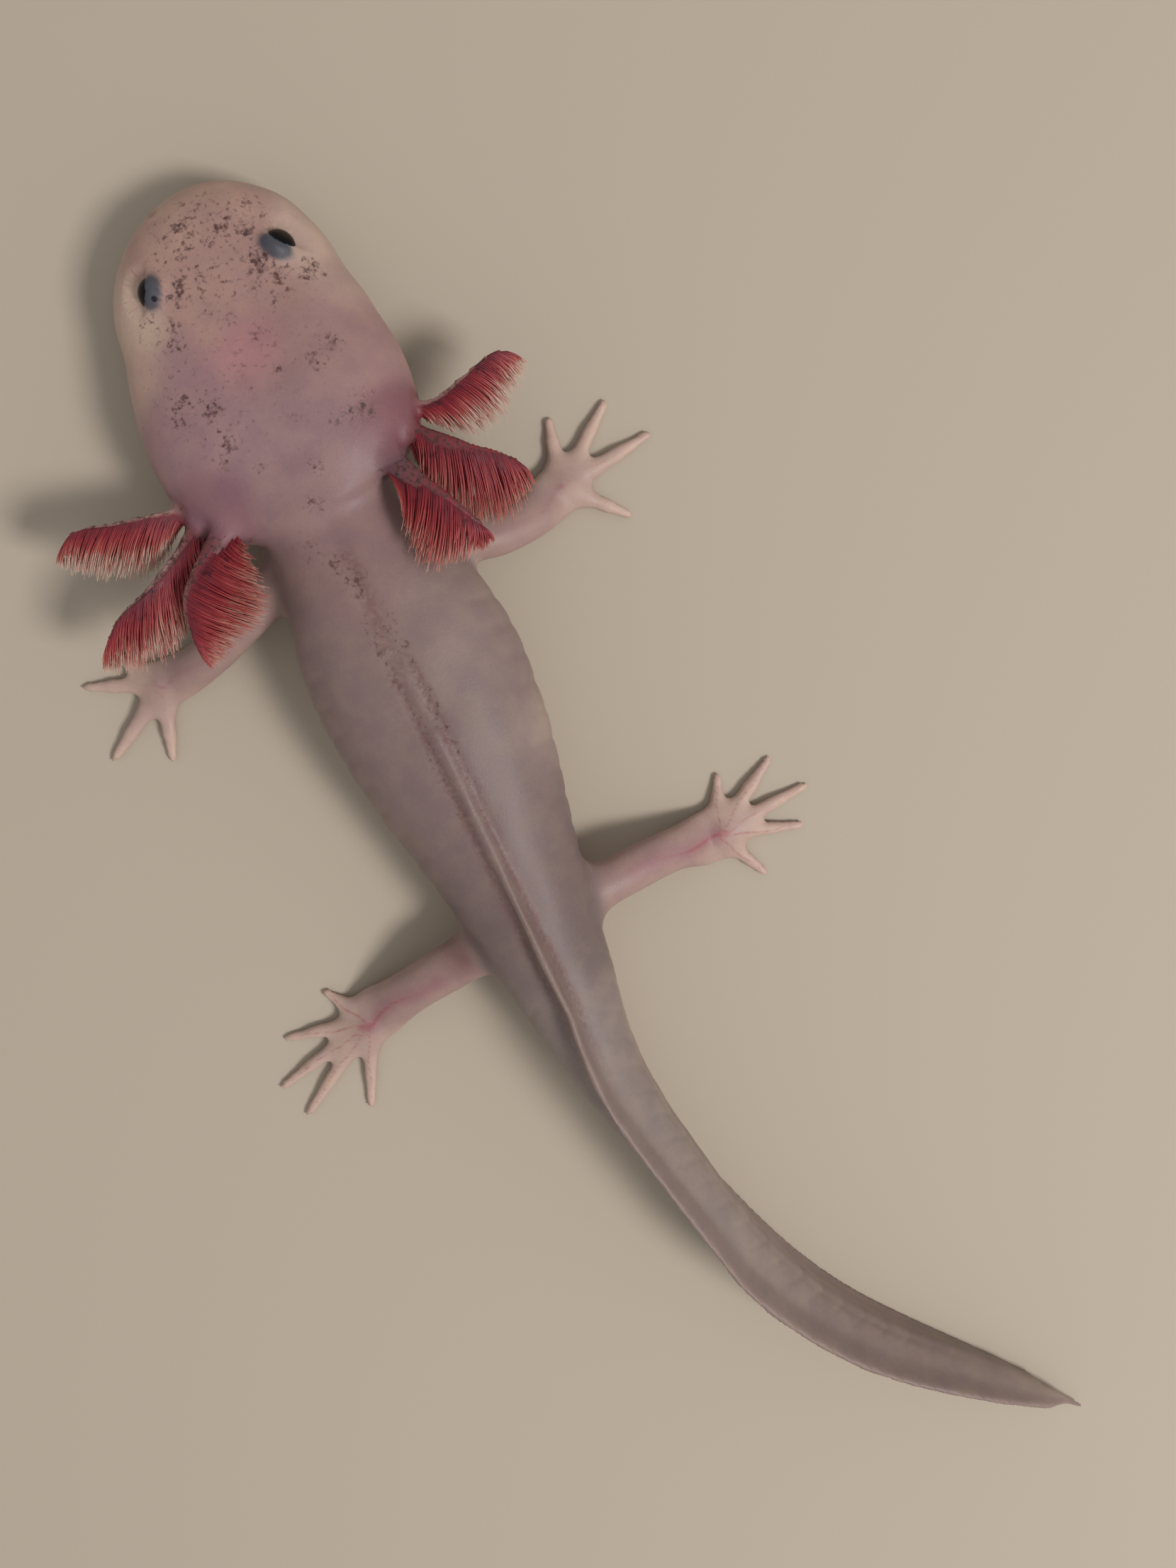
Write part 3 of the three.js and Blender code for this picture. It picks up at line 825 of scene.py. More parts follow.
GILLS = (
    Gill(
        "gill_left_front",
        stalk=((9.6, -3.2, 7.2), (12.4, -4.3, 8.2), (15.8, -5.2, 9.2), (19, -6.1, 9.1), (21.4, -5, 8)),
        tips=((11.6, -3, 7.2), (15.6, -0.4, 7.2), (18.5, -1.5, 7.3), (20.8, -3, 7.3), (22, -4.6, 7.5)),
    ),
    Gill(
        "gill_left_middle",
        stalk=((9.2, -2.5, 8.1), (12.1, -0.7, 9.2), (15.5, 0.7, 10), (19, 1.7, 10), (22.3, 4.1, 8.9)),
        tips=((10.2, 1.1, 9.9), (13.7, 4.6, 9.4), (17, 6.3, 8.4), (20.7, 5.8, 7.9), (22.9, 4.7, 8.1)),
        root=1.15, bare=0.08, paleness=0.84,
    ),
    Gill(
        "gill_left_rear",
        stalk=((6.8, -1.6, 9.2), (10, 0.4, 10.5), (12.6, 2.5, 11.3), (13.8, 5.4, 11.1), (14.1, 7.6, 10.6)),
        tips=((6.6, 0.8, 10.8), (6.7, 4.3, 10.8), (7.6, 6.6, 10.6), (10.6, 7.4, 10.3), (14.3, 8.8, 10)),
        root=1.15, bare=0.2, margin=0.8, paleness=0.74,
    ),
    Gill(
        "gill_right_front",
        stalk=(
            (-9.6, -3.2, 7.2), (-12.1, -2.8, 8.2), (-15, -3.4, 9.2), (-17.8, -4.1, 9.4), (-19.9, -3.4, 8.7),
        ),
        tips=(
            (-10.8, -1.4, 7.2), (-13.3, 0.8, 7.2), (-15.8, 1.1, 7.3), (-18.2, -0.5, 7.4), (-20.3, -2.5, 7.8),
        ),
    ),
    Gill(
        "gill_right_middle",
        stalk=(
            (-8.4, -2.4, 8.1), (-10.5, -0.3, 9.2), (-12.8, 1.6, 9.9), (-15.1, 3.4, 9.8), (-16.8, 5.3, 8.9),
        ),
        tips=((-8.4, 0.8, 8.4), (-8.3, 3.9, 8.4), (-9.7, 7.1, 8.2), (-12.9, 8.5, 7.9), (-16.9, 6.4, 8.2)),
        root=1.05, bare=0.12, margin=0.4, paleness=0.72,
    ),
    Gill(
        "gill_right_rear",
        stalk=((-6.2, -1.4, 9.2), (-7.9, 2, 10.8), (-9.4, 4.4, 11.4), (-10.8, 7.1, 11.1), (-11.6, 8.4, 10.6)),
        tips=((-6.6, 2.2, 11.4), (-5.2, 5.6, 12.2), (-5.4, 8.7, 12), (-8.2, 9.5, 10.6), (-11.8, 9.1, 10)),
        root=1.25, bare=0.3, margin=0, paleness=0.72,
    ),
)


# ---- Eyes ----


@dataclass
class Eye:
    """An eyeball, which lies under a low mound of skin that is open over its cornea.

    Attributes:
        node: The part's node that it stands for.
        centre: Its middle, in the animal's own frame.
        gaze: The way that it looks.
        cornea: Degrees from the gaze that the dark cornea reaches.
        opening: Degrees that the skin's opening reaches.
        mound: How far the mound stands over the eyeball.
        veil_shift: How far outwards the bluish patch lies, in radii.
    """

    node: str
    centre: Point
    gaze: Point
    cornea: float = 53.0
    opening: float = 56.0
    mound: float = 0.12
    veil_shift: float = 0.12

    RINGS = 48
    SPOKES = 72
    MOUND_BLEND = 0.5
    RIM_SLOPE = 0.02
    RIM_DEPTH = 0.22
    RIM_HEIGHT = 0.08
    RIM_CURVE = 0.005
    REACH = (0.3, 1.1)
    VEIL = (0.68, 1.0)
    VEIL_DEPTH = (0.16, 0.6)
    VEIL_EDGE = (0.72, 1.0)
    BULGE = 0.025
    BULGE_SPREAD = 38

    @property
    def way(self) -> Array:
        """The gaze as a unit direction."""
        return unit(np.array(self.gaze, float))

    def away(self, points: Array) -> tuple[Array, Array]:
        """Gives the ways from the eyeball's middle to points, and their distances."""
        ways = points - np.array(self.centre)
        return ways, np.linalg.norm(ways, axis=1)

    def merge_into(self, space: FleshField) -> None:
        """Merges the mound of skin over the eyeball into the field."""
        space.add(ball(self.centre, EYE_RADIUS + self.mound), self.MOUND_BLEND)

    def open_skin(self, points: Array) -> Array:
        """Opens the skin over the cornea and keeps the rest of it just off the eyeball.

        Args:
            points: The skin's points.

        Returns:
            The points, with those near the eye moved.
        """
        away, distance = self.away(points)
        beyond = np.degrees(np.arccos(np.clip((away @ self.way) / distance, -1, 1))) - self.opening
        rise = np.maximum(self.RIM_SLOPE * beyond, -self.RIM_DEPTH)
        lowest = EYE_RADIUS + np.minimum(rise, self.RIM_HEIGHT)
        highest = EYE_RADIUS + rise + self.RIM_CURVE * np.maximum(beyond, 0) ** 2
        near, far = self.REACH
        pull = ease(distance, EYE_RADIUS + far, EYE_RADIUS + near)
        wanted = np.maximum(distance + pull * np.minimum(highest - distance, 0), lowest)
        return np.array(self.centre) + away * (wanted / distance)[:, None]

    def veil(self, points: Array) -> Array:
        """Gives how strongly the bluish eyeball shows through the skin at points."""
        away, distance = self.away(points)
        ways = unit(away)
        outward = unit(self.way * (1, 1, 0))
        along = np.array((-outward[1], outward[0], 0))
        reach = np.hypot((ways @ outward - self.veil_shift) / self.VEIL[0], ways @ along / self.VEIL[1])
        shown = ease(distance - EYE_RADIUS, *self.VEIL_DEPTH[::-1])
        return shown * ease(reach, *self.VEIL_EDGE[::-1]) * (ways[:, 2] > 0)

    def build(self, material: Material) -> Object:
        """Makes the eyeball, with each point's angle from the gaze.

        Args:
            material: The eye's material.

        Returns:
            The eyeball.
        """
        turn = np.array(Vector(self.way).to_track_quat("Z", "Y").to_matrix())
        polar = np.linspace(0, math.pi, self.RINGS + 1)[1:-1]
        bulge = 1 + self.BULGE * hill(np.degrees(polar), self.BULGE_SPREAD)
        shell = lofted((ball_ways(polar, self.SPOKES) * bulge[:, None, None])[::-1])
        shell.points[-1] = (0, 0, 1 + self.BULGE)
        shell.points[-2] = (0, 0, -1)
        size = EYE_RADIUS / (1 + self.BULGE)
        points = in_part((shell.points * size) @ turn.T + np.array(self.centre))
        eye = mesh_object(self.node.replace("eye", "eyeball"), points, shell.triangles)
        angles = np.degrees(np.arccos(np.clip(unit(shell.points)[:, 2], -1, 1)))
        point_attribute(eye, "from_gaze", angles)
        eye.data.materials.append(material)
        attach(eye, "root")
        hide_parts(self.node)
        log.info("%s: %d faces", eye.name, len(eye.data.polygons))
        return eye


EYES = (
    Eye("eye_left", centre=(4.25, -19.76, 7.45), gaze=(0.85, -0.5, 0.3), cornea=50, opening=53),
    Eye("eye_right", centre=(-6.04, -18.74, 7.45), gaze=(-0.7, -0.5, 0.3), veil_shift=0.02),
)
EYE_SPOT = (4.35, -19.2, 8.95)


def find_origin() -> Array:
    """Gives the place of the animal's own frame in the part's, from the left eye's."""
    low, high = (np.array(corner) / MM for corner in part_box("eye_left"))
    return ((low + high) / 2 - np.array(EYES[0].centre)) * (1, 1, 0)


ORIGIN = find_origin()


def in_part(points: Array) -> Array:
    """Turns points of the animal's own frame, in millimetres, into the part's, in metres."""
    return (points + ORIGIN) * MM


# ---- Relief: folds, grooves, nostrils and the mouth, as movements of the skin along its normals ----


@dataclass
class Spots:
    """Where the skin's points lie on the body, as one array for each measure.

    Attributes:
        points: Their places in the animal's own frame, in millimetres.
        place: Distance along the midline.
        across: Distance to the left of the midline.
        height: Height in the cross-section.
        half: The flesh's half width at each place.
        gill: 1 on a gill's stalk and 0 on the body.
        covered: Share of the stalk's length, counted from where filaments cover it.
        front: 1 on the stalk's front margin and -1 on the filaments' side.
        leg: 1 on a leg and 0 on the body.
        toe: 0 at the palm and 1 at a toe's tip.
        artery: Distance from the blood that shows along a leg.
        vessel: Distance from the nearest fine vessel.
    """

    points: Array
    place: Array
    across: Array
    height: Array
    half: Array
    gill: Array
    covered: Array
    front: Array
    leg: Array
    toe: Array
    artery: Array
    vessel: Array

    @property
    def body(self) -> Array:
        """1 on the head, trunk and tail, and 0 on legs and gills."""
        return (1 - self.leg) * (1 - self.gill)

    @property
    def flank(self) -> Array:
        """0 on the midline and 1 on the sides."""
        return ease(np.abs(self.across) / np.maximum(self.half, 0.3), 0.35, 0.8)

    def near(self, place: float, across: float, reach: float) -> Array:
        """Gives a bell-shaped weight round a place seen from above."""
        return hill(np.hypot(self.place - place, self.across - across), reach)

    def within(self, start: float, full: float, fading: float, end: float) -> Array:
        """Gives 1 along the body from `full` to `fading`, and 0 before `start` and after `end`."""
        return ease(self.place, start, full) * ease(self.place, end, fading)


@dataclass
class Relief:
    """The skin's folds and hollows. Depths are in millimetres.

    Attributes:
        costal: Depth of the grooves between the ribs.
        costal_places: The first and last one's places.
        costal_count: How many there are.
        neck_fold: Depth of the fold behind the gills.
        mouth: Depth of the mouth's line.
        mouth_reach: Where the mouth's corners lie.
        nostril: Depth of the nostrils.
        muscle: Depth of the tail's muscle folds.
        unevenness: Height of the soft lumps all over.
    """

    costal: float = 0.09
    costal_places: tuple[float, float] = (37.0, 65.0)
    costal_count: int = 12
    neck_fold: float = 0.35
    mouth: float = 0.3
    mouth_reach: float = 14.5
    nostril: float = 0.45
    muscle: float = 0.07
    unevenness: float = 0.045

    MIDDLE_OF_FACE = -0.8
    NOSTRIL = (0.75, 3.1, 5.9)
    NECK_FOLDS = ((27.4, 1.0, 0.55), (29.6, 0.4, 0.45))
    # Pairs of cheeks, hollows between the eyes and pads on the snout: place, share of the middle's shift,
    # spacing from it, reach and rise.
    FACE = ((19, 0.4, 6.6, 4.2, 0.28), (10.5, 1, 2.2, 2.2, -0.3), (3.2, 1, 3.4, 1.8, 0.14))

    def mouth_level(self, place: Array) -> Array:
        """Gives the height of the mouth's line, which rises a little towards its corners."""
        return 3.45 + 0.9 * ease(place, 5, self.mouth_reach)

    def costal_phase(self, spots: Spots) -> Array:
        """Gives the distance along the body to the nearest groove between ribs."""
        first, last = self.costal_places
        spacing = (last - first) / (self.costal_count - 1)
        slanted = spots.place + 0.16 * (spots.height - 8)
        nearest = np.clip(np.round((slanted - first) / spacing), 0, self.costal_count - 1)
        return slanted - first - nearest * spacing

    def movement(self, spots: Spots) -> Array:
        """Gives how far each point moves out along its normal.

        Args:
            spots: Where the points lie.

        Returns:
            The movements in millimetres, negative inwards.
        """
        move = np.zeros_like(spots.place)
        for press in (self.ribs, self.tail, self.neck, self.lips, self.face, self.back):
            press(spots, move)
        on_floor = ease(spots.points[:, 2], 0.1, 0.8)
        return move + self.unevenness * lumps(spots.points) * on_floor

    def ribs(self, spots: Spots, move: Array) -> None:
        """Presses the grooves between the ribs into the flanks."""
        first, last = self.costal_places
        shown = ease(spots.height, 1.2, 3.5) * ease(spots.height, 12.2, 9.5) * spots.flank
        groove = hill(self.costal_phase(spots), 0.42)
        swell = 0.35 * (1 - groove)
        reach = spots.within(first - 1.5, first + 2, last - 3, last + 1.5)
        move += self.costal * (swell * 0.3 - groove) * shown * reach * spots.body

    def tail(self, spots: Spots, move: Array) -> None:
        """Presses the folds between the tail's muscles, and the line along its side."""
        place, height = spots.place, spots.height
        wave = place * 2.3 + 1.6 * np.abs(height - TRUNK.widest(place))
        tail = spots.within(64, 74, 120, 138)
        on_muscle = ease(height, TRUNK.back(place) + 0.2, TRUNK.back(place) - 1.2)
        on_muscle = on_muscle * ease(height, TRUNK.belly(place) - 0.2, TRUNK.belly(place) + 1)
        move -= self.muscle * hill(np.sin(wave / 2), 0.35) * tail * on_muscle * spots.body
        move -= 0.1 * hill(height - TRUNK.widest(place) - 0.5, 0.5) * tail * spots.body

    def neck(self, spots: Spots, move: Array) -> None:
        """Presses the folds behind the gills."""
        below = ease(spots.height, 9.5, 6)
        for where, depth, width in self.NECK_FOLDS:
            crease = hill(spots.place - where - 0.12 * (spots.height - 5), width)
            move -= self.neck_fold * depth * crease * below * spots.body

    def lips(self, spots: Spots, move: Array) -> None:
        """Draws the mouth's line round the snout, with a low lip over it."""
        place, half = spots.place, HEAD.sizes(spots.place)[0]
        lips = ease(place, self.mouth_reach + 0.6, self.mouth_reach - 1.2) * spots.body
        lips = lips * ease(np.abs(spots.across), half * 0.55, half * 0.8)
        lips = np.maximum(lips, ease(place, 2.2, 0.8) * spots.body)
        gap = spots.height - self.mouth_level(place)
        move += lips * (0.1 * hill(gap - 0.75, 0.5) - self.mouth * hill(gap, 0.3))

    def face(self, spots: Spots, move: Array) -> None:
        """Presses the nostrils and shapes the cheeks, the brow and the snout."""
        top = upper_side(spots.height)
        place, spacing, height = self.NOSTRIL
        for sign in (-1, 1):
            middle = self.MIDDLE_OF_FACE + sign * spacing
            gap = ((spots.place - place) ** 2, (spots.across - middle) ** 2, (spots.height - height) ** 2)
            nostril = np.sqrt(sum(gap))
            move += (0.1 * hill(nostril - 0.6, 0.3) - self.nostril * hill(nostril, 0.36)) * spots.body
            for along, share, apart, reach, rise in self.FACE:
                across = self.MIDDLE_OF_FACE * share + sign * apart
                move += rise * spots.near(along, across, reach) * spots.body * top
        move -= 0.22 * spots.near(14.5, self.MIDDLE_OF_FACE * 0.6, 2.6) * spots.body * top

    def back(self, spots: Spots, move: Array) -> None:
        """Presses the furrows along the back."""
        place, side = spots.place, np.abs(spots.across)
        top = ease(spots.height, 8, 10)
        furrow = hill(side, 0.75) * ease(place, 27, 31) * ease(place, 44, 39)
        move -= 0.12 * furrow * top * spots.body
        fold = ease(place, 39, 43) * ease(place, 64, 54) * top * spots.body
        move += fold * (0.08 * hill(side, 0.35) - 0.1 * hill(side - 0.9, 0.35))


def upper_side(height: Array) -> Array:
    """Gives 1 on the upper side of the head and 0 on its underside."""
    return ease(height, 5, 7)


def lumps(points: Array) -> Array:
    """Gives soft unevenness from -1 to 1, as a sum of waves in many directions."""
    random = np.random.default_rng(SEED)
    total = np.zeros(len(points))
    for _ in range(WAVES):
        way = unit(random.normal(size=3)) * random.uniform(0.5, 1.9)
        total += np.sin(points @ way + random.uniform(0, 2 * math.pi))
    return total / math.sqrt(WAVES)


# ---- Colour: the skin's tints and freckles ----


def linear(red: int, green: int, blue: int) -> Array:
    """Turns a display colour, from 0 to 255, into the linear colour that shaders use."""
    value = np.array((red, green, blue)) / 255
    return np.where(value > 0.04045, ((value + 0.055) / 1.055) ** 2.4, value / 12.92)


@dataclass(frozen=True)
class Patch:
    """A soft round patch on the upper side: of colour, or of dark specks.

    Attributes:
        place: Its place on the body.
        across: How far it lies to the left.
        reach: Its radius.
        strength: How strongly it covers, or how thick its specks lie.
        colour: Its display colour.
    """

    place: float
    across: float
    reach: float
    strength: float = 1.0
    colour: Colour = (0, 0, 0)

    def weight(self, spots: Spots, spread: float = 1.0) -> Array:
        """Gives how strongly it covers each point, with its reach `spread` times as wide."""
        return self.strength * spots.near(self.place, self.across, self.reach * spread)


CLUMPS = tuple(Patch(*row) for row in (
    # snout
    (1.7, -2, 0.9, 1.1), (1.4, 0, 0.6), (3.4, -5.3, 0.7), (4.6, -6, 0.5), (3.2, 0.5, 0.8),
    (4.9, -2.7, 0.9), (5.5, -4, 0.8), (5, 1, 0.8), (3.6, 2, 0.6), (1.6, 2.6, 0.4), (3.6, -1.5, 4.6, 0.5),
    (8, 0.5, 4.2, 0.34),
    # between the eyes and beside them
    (7.8, -3.8, 1.1, 1.3), (9.3, -5, 0.9, 1.0), (10, -7.4, 1.0, 0.9), (7, 2.5, 0.6, 1.2),
    (7.9, 3, 0.7, 1.3), (8.2, 2, 0.5, 1.1), (7.6, 0.3, 0.35, 1.2), (9.5, -1, 0.8, 0.5),
    (11.1, -4.4, 0.9, 0.7), (8.9, 6, 0.6, 0.8), (10, 4.2, 0.7, 0.9), (11.1, 4.5, 0.7, 1.0),
    # middle and rear of the head
    (12.9, -2, 0.9, 0.7), (16, -6.6, 0.8, 0.9), (16.9, -5.1, 0.7, 0.7), (16.1, -2, 0.4, 0.9),
    (21.7, -6.8, 1.0, 1.1), (21.4, -5, 0.7, 0.8), (15.4, 5.9, 0.8, 0.9), (16.8, 4, 0.8, 1.0),
    (16.8, 6.4, 0.7, 0.8), (19.5, 3.9, 0.9, 0.9), (20.9, 5.2, 0.5, 0.9), (22.3, 2.5, 0.5, 0.7),
    (24.1, -1.5, 0.5, 0.8), (26.6, 0.1, 0.6, 1.0), (14, 2, 9, 0.22),
    # neck and back
    (31.6, 0.8, 0.7, 0.8), (33.6, 0.2, 0.9, 0.7), (37.8, -0.6, 0.7, 0.5), (29.5, 2.2, 1.5, 0.3),
))

BLUSHES = tuple(Patch(*row) for row in (
    # head
    (0, -0.5, 3.0, 1.3, (180, 150, 134)), (5, -1, 3.6, 1.4, (174, 142, 130)),
    (8, -1, 3.5, 1, (160, 128, 122)), (8, 8.5, 2.2, 1.8, (196, 172, 154)),
    (12, 9.4, 2.0, 1.6, (186, 158, 144)), (7, -8.6, 2.0, 1.6, (186, 162, 148)),
    (11, -9.8, 2.0, 1.5, (172, 146, 136)), (14, -0.3, 2.2, 1.2, (176, 128, 130)),
    (11, 1.2, 1.4, 0.8, (178, 146, 134)), (16, 5, 3.4, 1, (158, 126, 128)),
    (16, -6, 3.4, 1, (157, 126, 122)), (20, -1, 4.0, 1, (148, 120, 122)),
    (23.6, -8, 1.9, 1.5, (126, 86, 92)), (24, 7.2, 2.1, 1.4, (136, 100, 107)),
    # neck, trunk and tail
    (29, 0, 4.5, 1, (140, 113, 112)), (35, 0, 3.4, 0.9, (147, 119, 115)), (70, -4, 3, 0.8, (106, 93, 90)),
    (40, 4.5, 6, 1, (136, 116, 112)), (40, -5.5, 6, 1, (142, 124, 119)),
    (51, -8.8, 2.6, 1.3, (172, 153, 142)), (53, 8.6, 2.4, 1, (142, 124, 114)),
    (52, 5, 7, 1, (131, 112, 109)), (52, -5, 7, 1, (126, 110, 107)), (64, 0, 8, 1, (118, 102, 99)),
    (80, 0, 9, 1, (137, 125, 120)), (100, 0, 12, 1, (140, 128, 121)), (124, 0, 14, 1, (129, 114, 108)),
    (146, 0, 7, 1, (144, 129, 119)),
))


@dataclass
class Tints:
    """Works out the skin's soft colours and where its specks lie. Its fields are display colours."""

    plain: Colour = (148, 128, 118)
    limb: Colour = (160, 134, 127)
    toe: Colour = (194, 170, 156)
    flush: Colour = (144, 98, 106)
    thigh: Colour = (98, 60, 57)
    stalk: Colour = (98, 66, 76)
    stalk_margin: Colour = (182, 156, 144)
    stalk_blood: Colour = (126, 46, 54)
    underside: Colour = (176, 155, 142)
    fin: Colour = (126, 110, 105)
    fin_edge: Colour = (140, 124, 116)
    streak: Colour = (104, 90, 84)
    eye_veil: Colour = (60, 71, 83)

    SPECK_SPREAD = 1.25

    def fin_share(self, spots: Spots) -> Array:
        """Gives 0 on the flesh, rising to 1 at the edge of a fin."""
        place, back, belly = spots.place, TRUNK.back(spots.place), TRUNK.belly(spots.place)
        dorsal = (spots.height - back) / np.maximum(CREST(place) - back, 0.4) * ease(place, 45, 52)
        ventral = (belly - spots.height) / np.maximum(belly - KEEL(place), 0.4) * ease(place, 80, 86)
        thin = ease(np.abs(spots.across), 1.6, 0.9)
        return np.clip(np.maximum(dorsal, ventral), 0, 1) * thin * spots.body

    def blushed(self, spots: Spots) -> Array:
        """Gives the mean of the soft patches' colours at each point."""
        weights = np.full(len(spots.place), 1e-6)
        total = weights[:, None] * linear(*self.plain)
        for blush in BLUSHES:
            weight = blush.weight(spots)
            weights = weights + weight
            total = total + weight[:, None] * linear(*blush.colour)
        return total / weights[:, None]

    def tone(self, spots: Spots) -> Array:
        """Gives the skin's colour without its fine pattern.

        Args:
            spots: Where the points lie.

        Returns:
            Linear colours, one row for each point.
        """
        place, height, leg, gill = spots.place, spots.height, spots.leg, spots.gill
        share = self.fin_share(spots)
        sideways = np.abs(spots.across + 0.5) / np.maximum(spots.half, 1)
        tail = spots.within(78, 96, 128, 142)
        low = ease(height, 7.2, 2.4) * ease(place, 150, 70)
        lip = ease(place, 15, 9) * ease(sideways, 0.8, 0.97)
        streak = 0.35 * hill(height - TRUNK.widest(place) + 0.6, 0.75) * tail * spots.body
        margin = ease(spots.front, 0.45, 0.8) * ease(spots.covered, -0.04, 0.14)
        layers = [
            (self.underside, 0.75 * low),
            (self.underside, 0.3 * lip),
            (self.streak, streak),
            (self.fin, 0.6 * ease(share, 0, 0.35)),
            (self.fin_edge, 0.5 * ease(share, 0.6, 1.0)),
            (self.limb, 0.9 * leg),
            # Paler towards the floor on the legs: partly the palms' own pale colour, partly painted light
            # that lifts the shade the gills cast on the palms.
            (self.toe, 0.45 * ease(spots.points[:, 2], 3, 1) * leg),
            (self.toe, ease(spots.toe, 0.05, 0.9) * leg),
            (self.flush, 0.6 * hill(spots.artery, 0.8) * leg),
            (self.thigh, 0.62 * spots.near(67.6, 7.1, 2.1) * leg),
            (self.stalk, 0.9 * gill),
            (self.stalk_blood, ease(spots.covered, -0.22, 0.1) * gill),
            (self.stalk_margin, 0.85 * gill * margin),
        ]
        layers += [(self.eye_veil, 0.92 * eye.veil(spots.points)) for eye in EYES]
        tone = self.blushed(spots)
        for colour, cover in layers:
            tone = mixed(tone, colour, cover)
        return tone

    def back_line(self, spots: Spots) -> Array:
        """Gives the weight of the brown line along the back, which parts in two."""
        parted = ease(spots.place, 39.5, 42)
        single = 0.75 * hill(spots.across - 0.25 * np.sin(spots.place * 0.5 + 1), 0.6)
        pair = np.maximum(hill(np.abs(spots.across) - 0.85, 0.42), 0.4 * hill(spots.across, 1.4))
        extent = spots.within(29, 32, 66, 88)
        return (single + (pair - single) * parted) * extent * ease(spots.height, 9, 10.5)

    def freckles(self, spots: Spots) -> Array:
        """Gives how thickly dark specks lie at each point, from 0 to about 1.3."""
        density = 0.42 * (hill(np.abs(spots.across) - 0.9, 0.6) * spots.within(34, 38, 50, 60))
        for clump in CLUMPS:
            density = np.maximum(density, clump.weight(spots, self.SPECK_SPREAD))
        density = density * ease(spots.height, 5.5, 8) * (1 - spots.leg)
        return np.maximum(density, spots.gill * ease(spots.points[:, 2], 7.5, 9))


def mixed(colours: Array, display: Colour, share: Array) -> Array:
    """Mixes linear colours with a display colour, by a share for each row."""
    share = np.clip(share, 0, 1)[:, None]
    return colours * (1 - share) + share * linear(*display)


# ---- Meshes and their attributes ----


def linked(name: str, data: ID) -> Object:
    """Makes an object of a mesh, a camera or a light, and links it into the scene."""
    thing = bpy.data.objects.new(name, data)
    bpy.context.scene.collection.objects.link(thing)
    return thing


def mesh_object(name: str, points: Array, faces: Array) -> Object:
    """Makes a smooth-shaded object.

    Args:
        name: The object's name.
        points: Its points, in metres.
        faces: Its faces, as rows of point numbers.

    Returns:
        The object, linked into the scene.
    """
    mesh = bpy.data.meshes.new(name)
    mesh.from_pydata(points.tolist(), [], faces.tolist())
    mesh.update()
    mesh.shade_smooth()
    return linked(name, mesh)


def point_attribute(thing: Object, name: str, values: Array) -> None:
    """Gives each point of a mesh a number, or a vector where `values` has rows."""
    kind, key = ("FLOAT", "value") if values.ndim == 1 else ("FLOAT_VECTOR", "vector")
    layer = thing.data.attributes.new(name, kind, "POINT")
    layer.data.foreach_set(key, np.ascontiguousarray(values, np.float32).ravel())


def colour_attribute(thing: Object, name: str, values: Array) -> None:
    """Gives each point of a mesh a colour, from rows of linear red, green and blue."""
    layer = thing.data.color_attributes.new(name, "FLOAT_COLOR", "POINT")
    rows = np.column_stack((values, np.ones(len(values)))).astype(np.float32)
    layer.data.foreach_set("color", rows.ravel())


def nearest_on(points: Array, line: Array, reach: float) -> tuple[Array, Array]:
    """Finds how far points lie from a line.

    Args:
        points: The points.
        line: The line, as closely spaced points.
        reach: The greatest distance that matters.

    Returns:
        The distances, none above `reach`, and the shares of the line's way.
    """
    distance = np.full(len(points), float(reach))
    share = np.zeros(len(points))
    inside = np.all((points > line.min(0) - reach) & (points < line.max(0) + reach), axis=1)
    gaps = np.linalg.norm(points[inside, None] - line[None], axis=2)
    nearest = gaps.argmin(1)
    distance[inside] = np.minimum(gaps[np.arange(len(nearest)), nearest], reach)
    share[inside] = nearest / (len(line) - 1)
    return distance, share


# ---- The skin ----


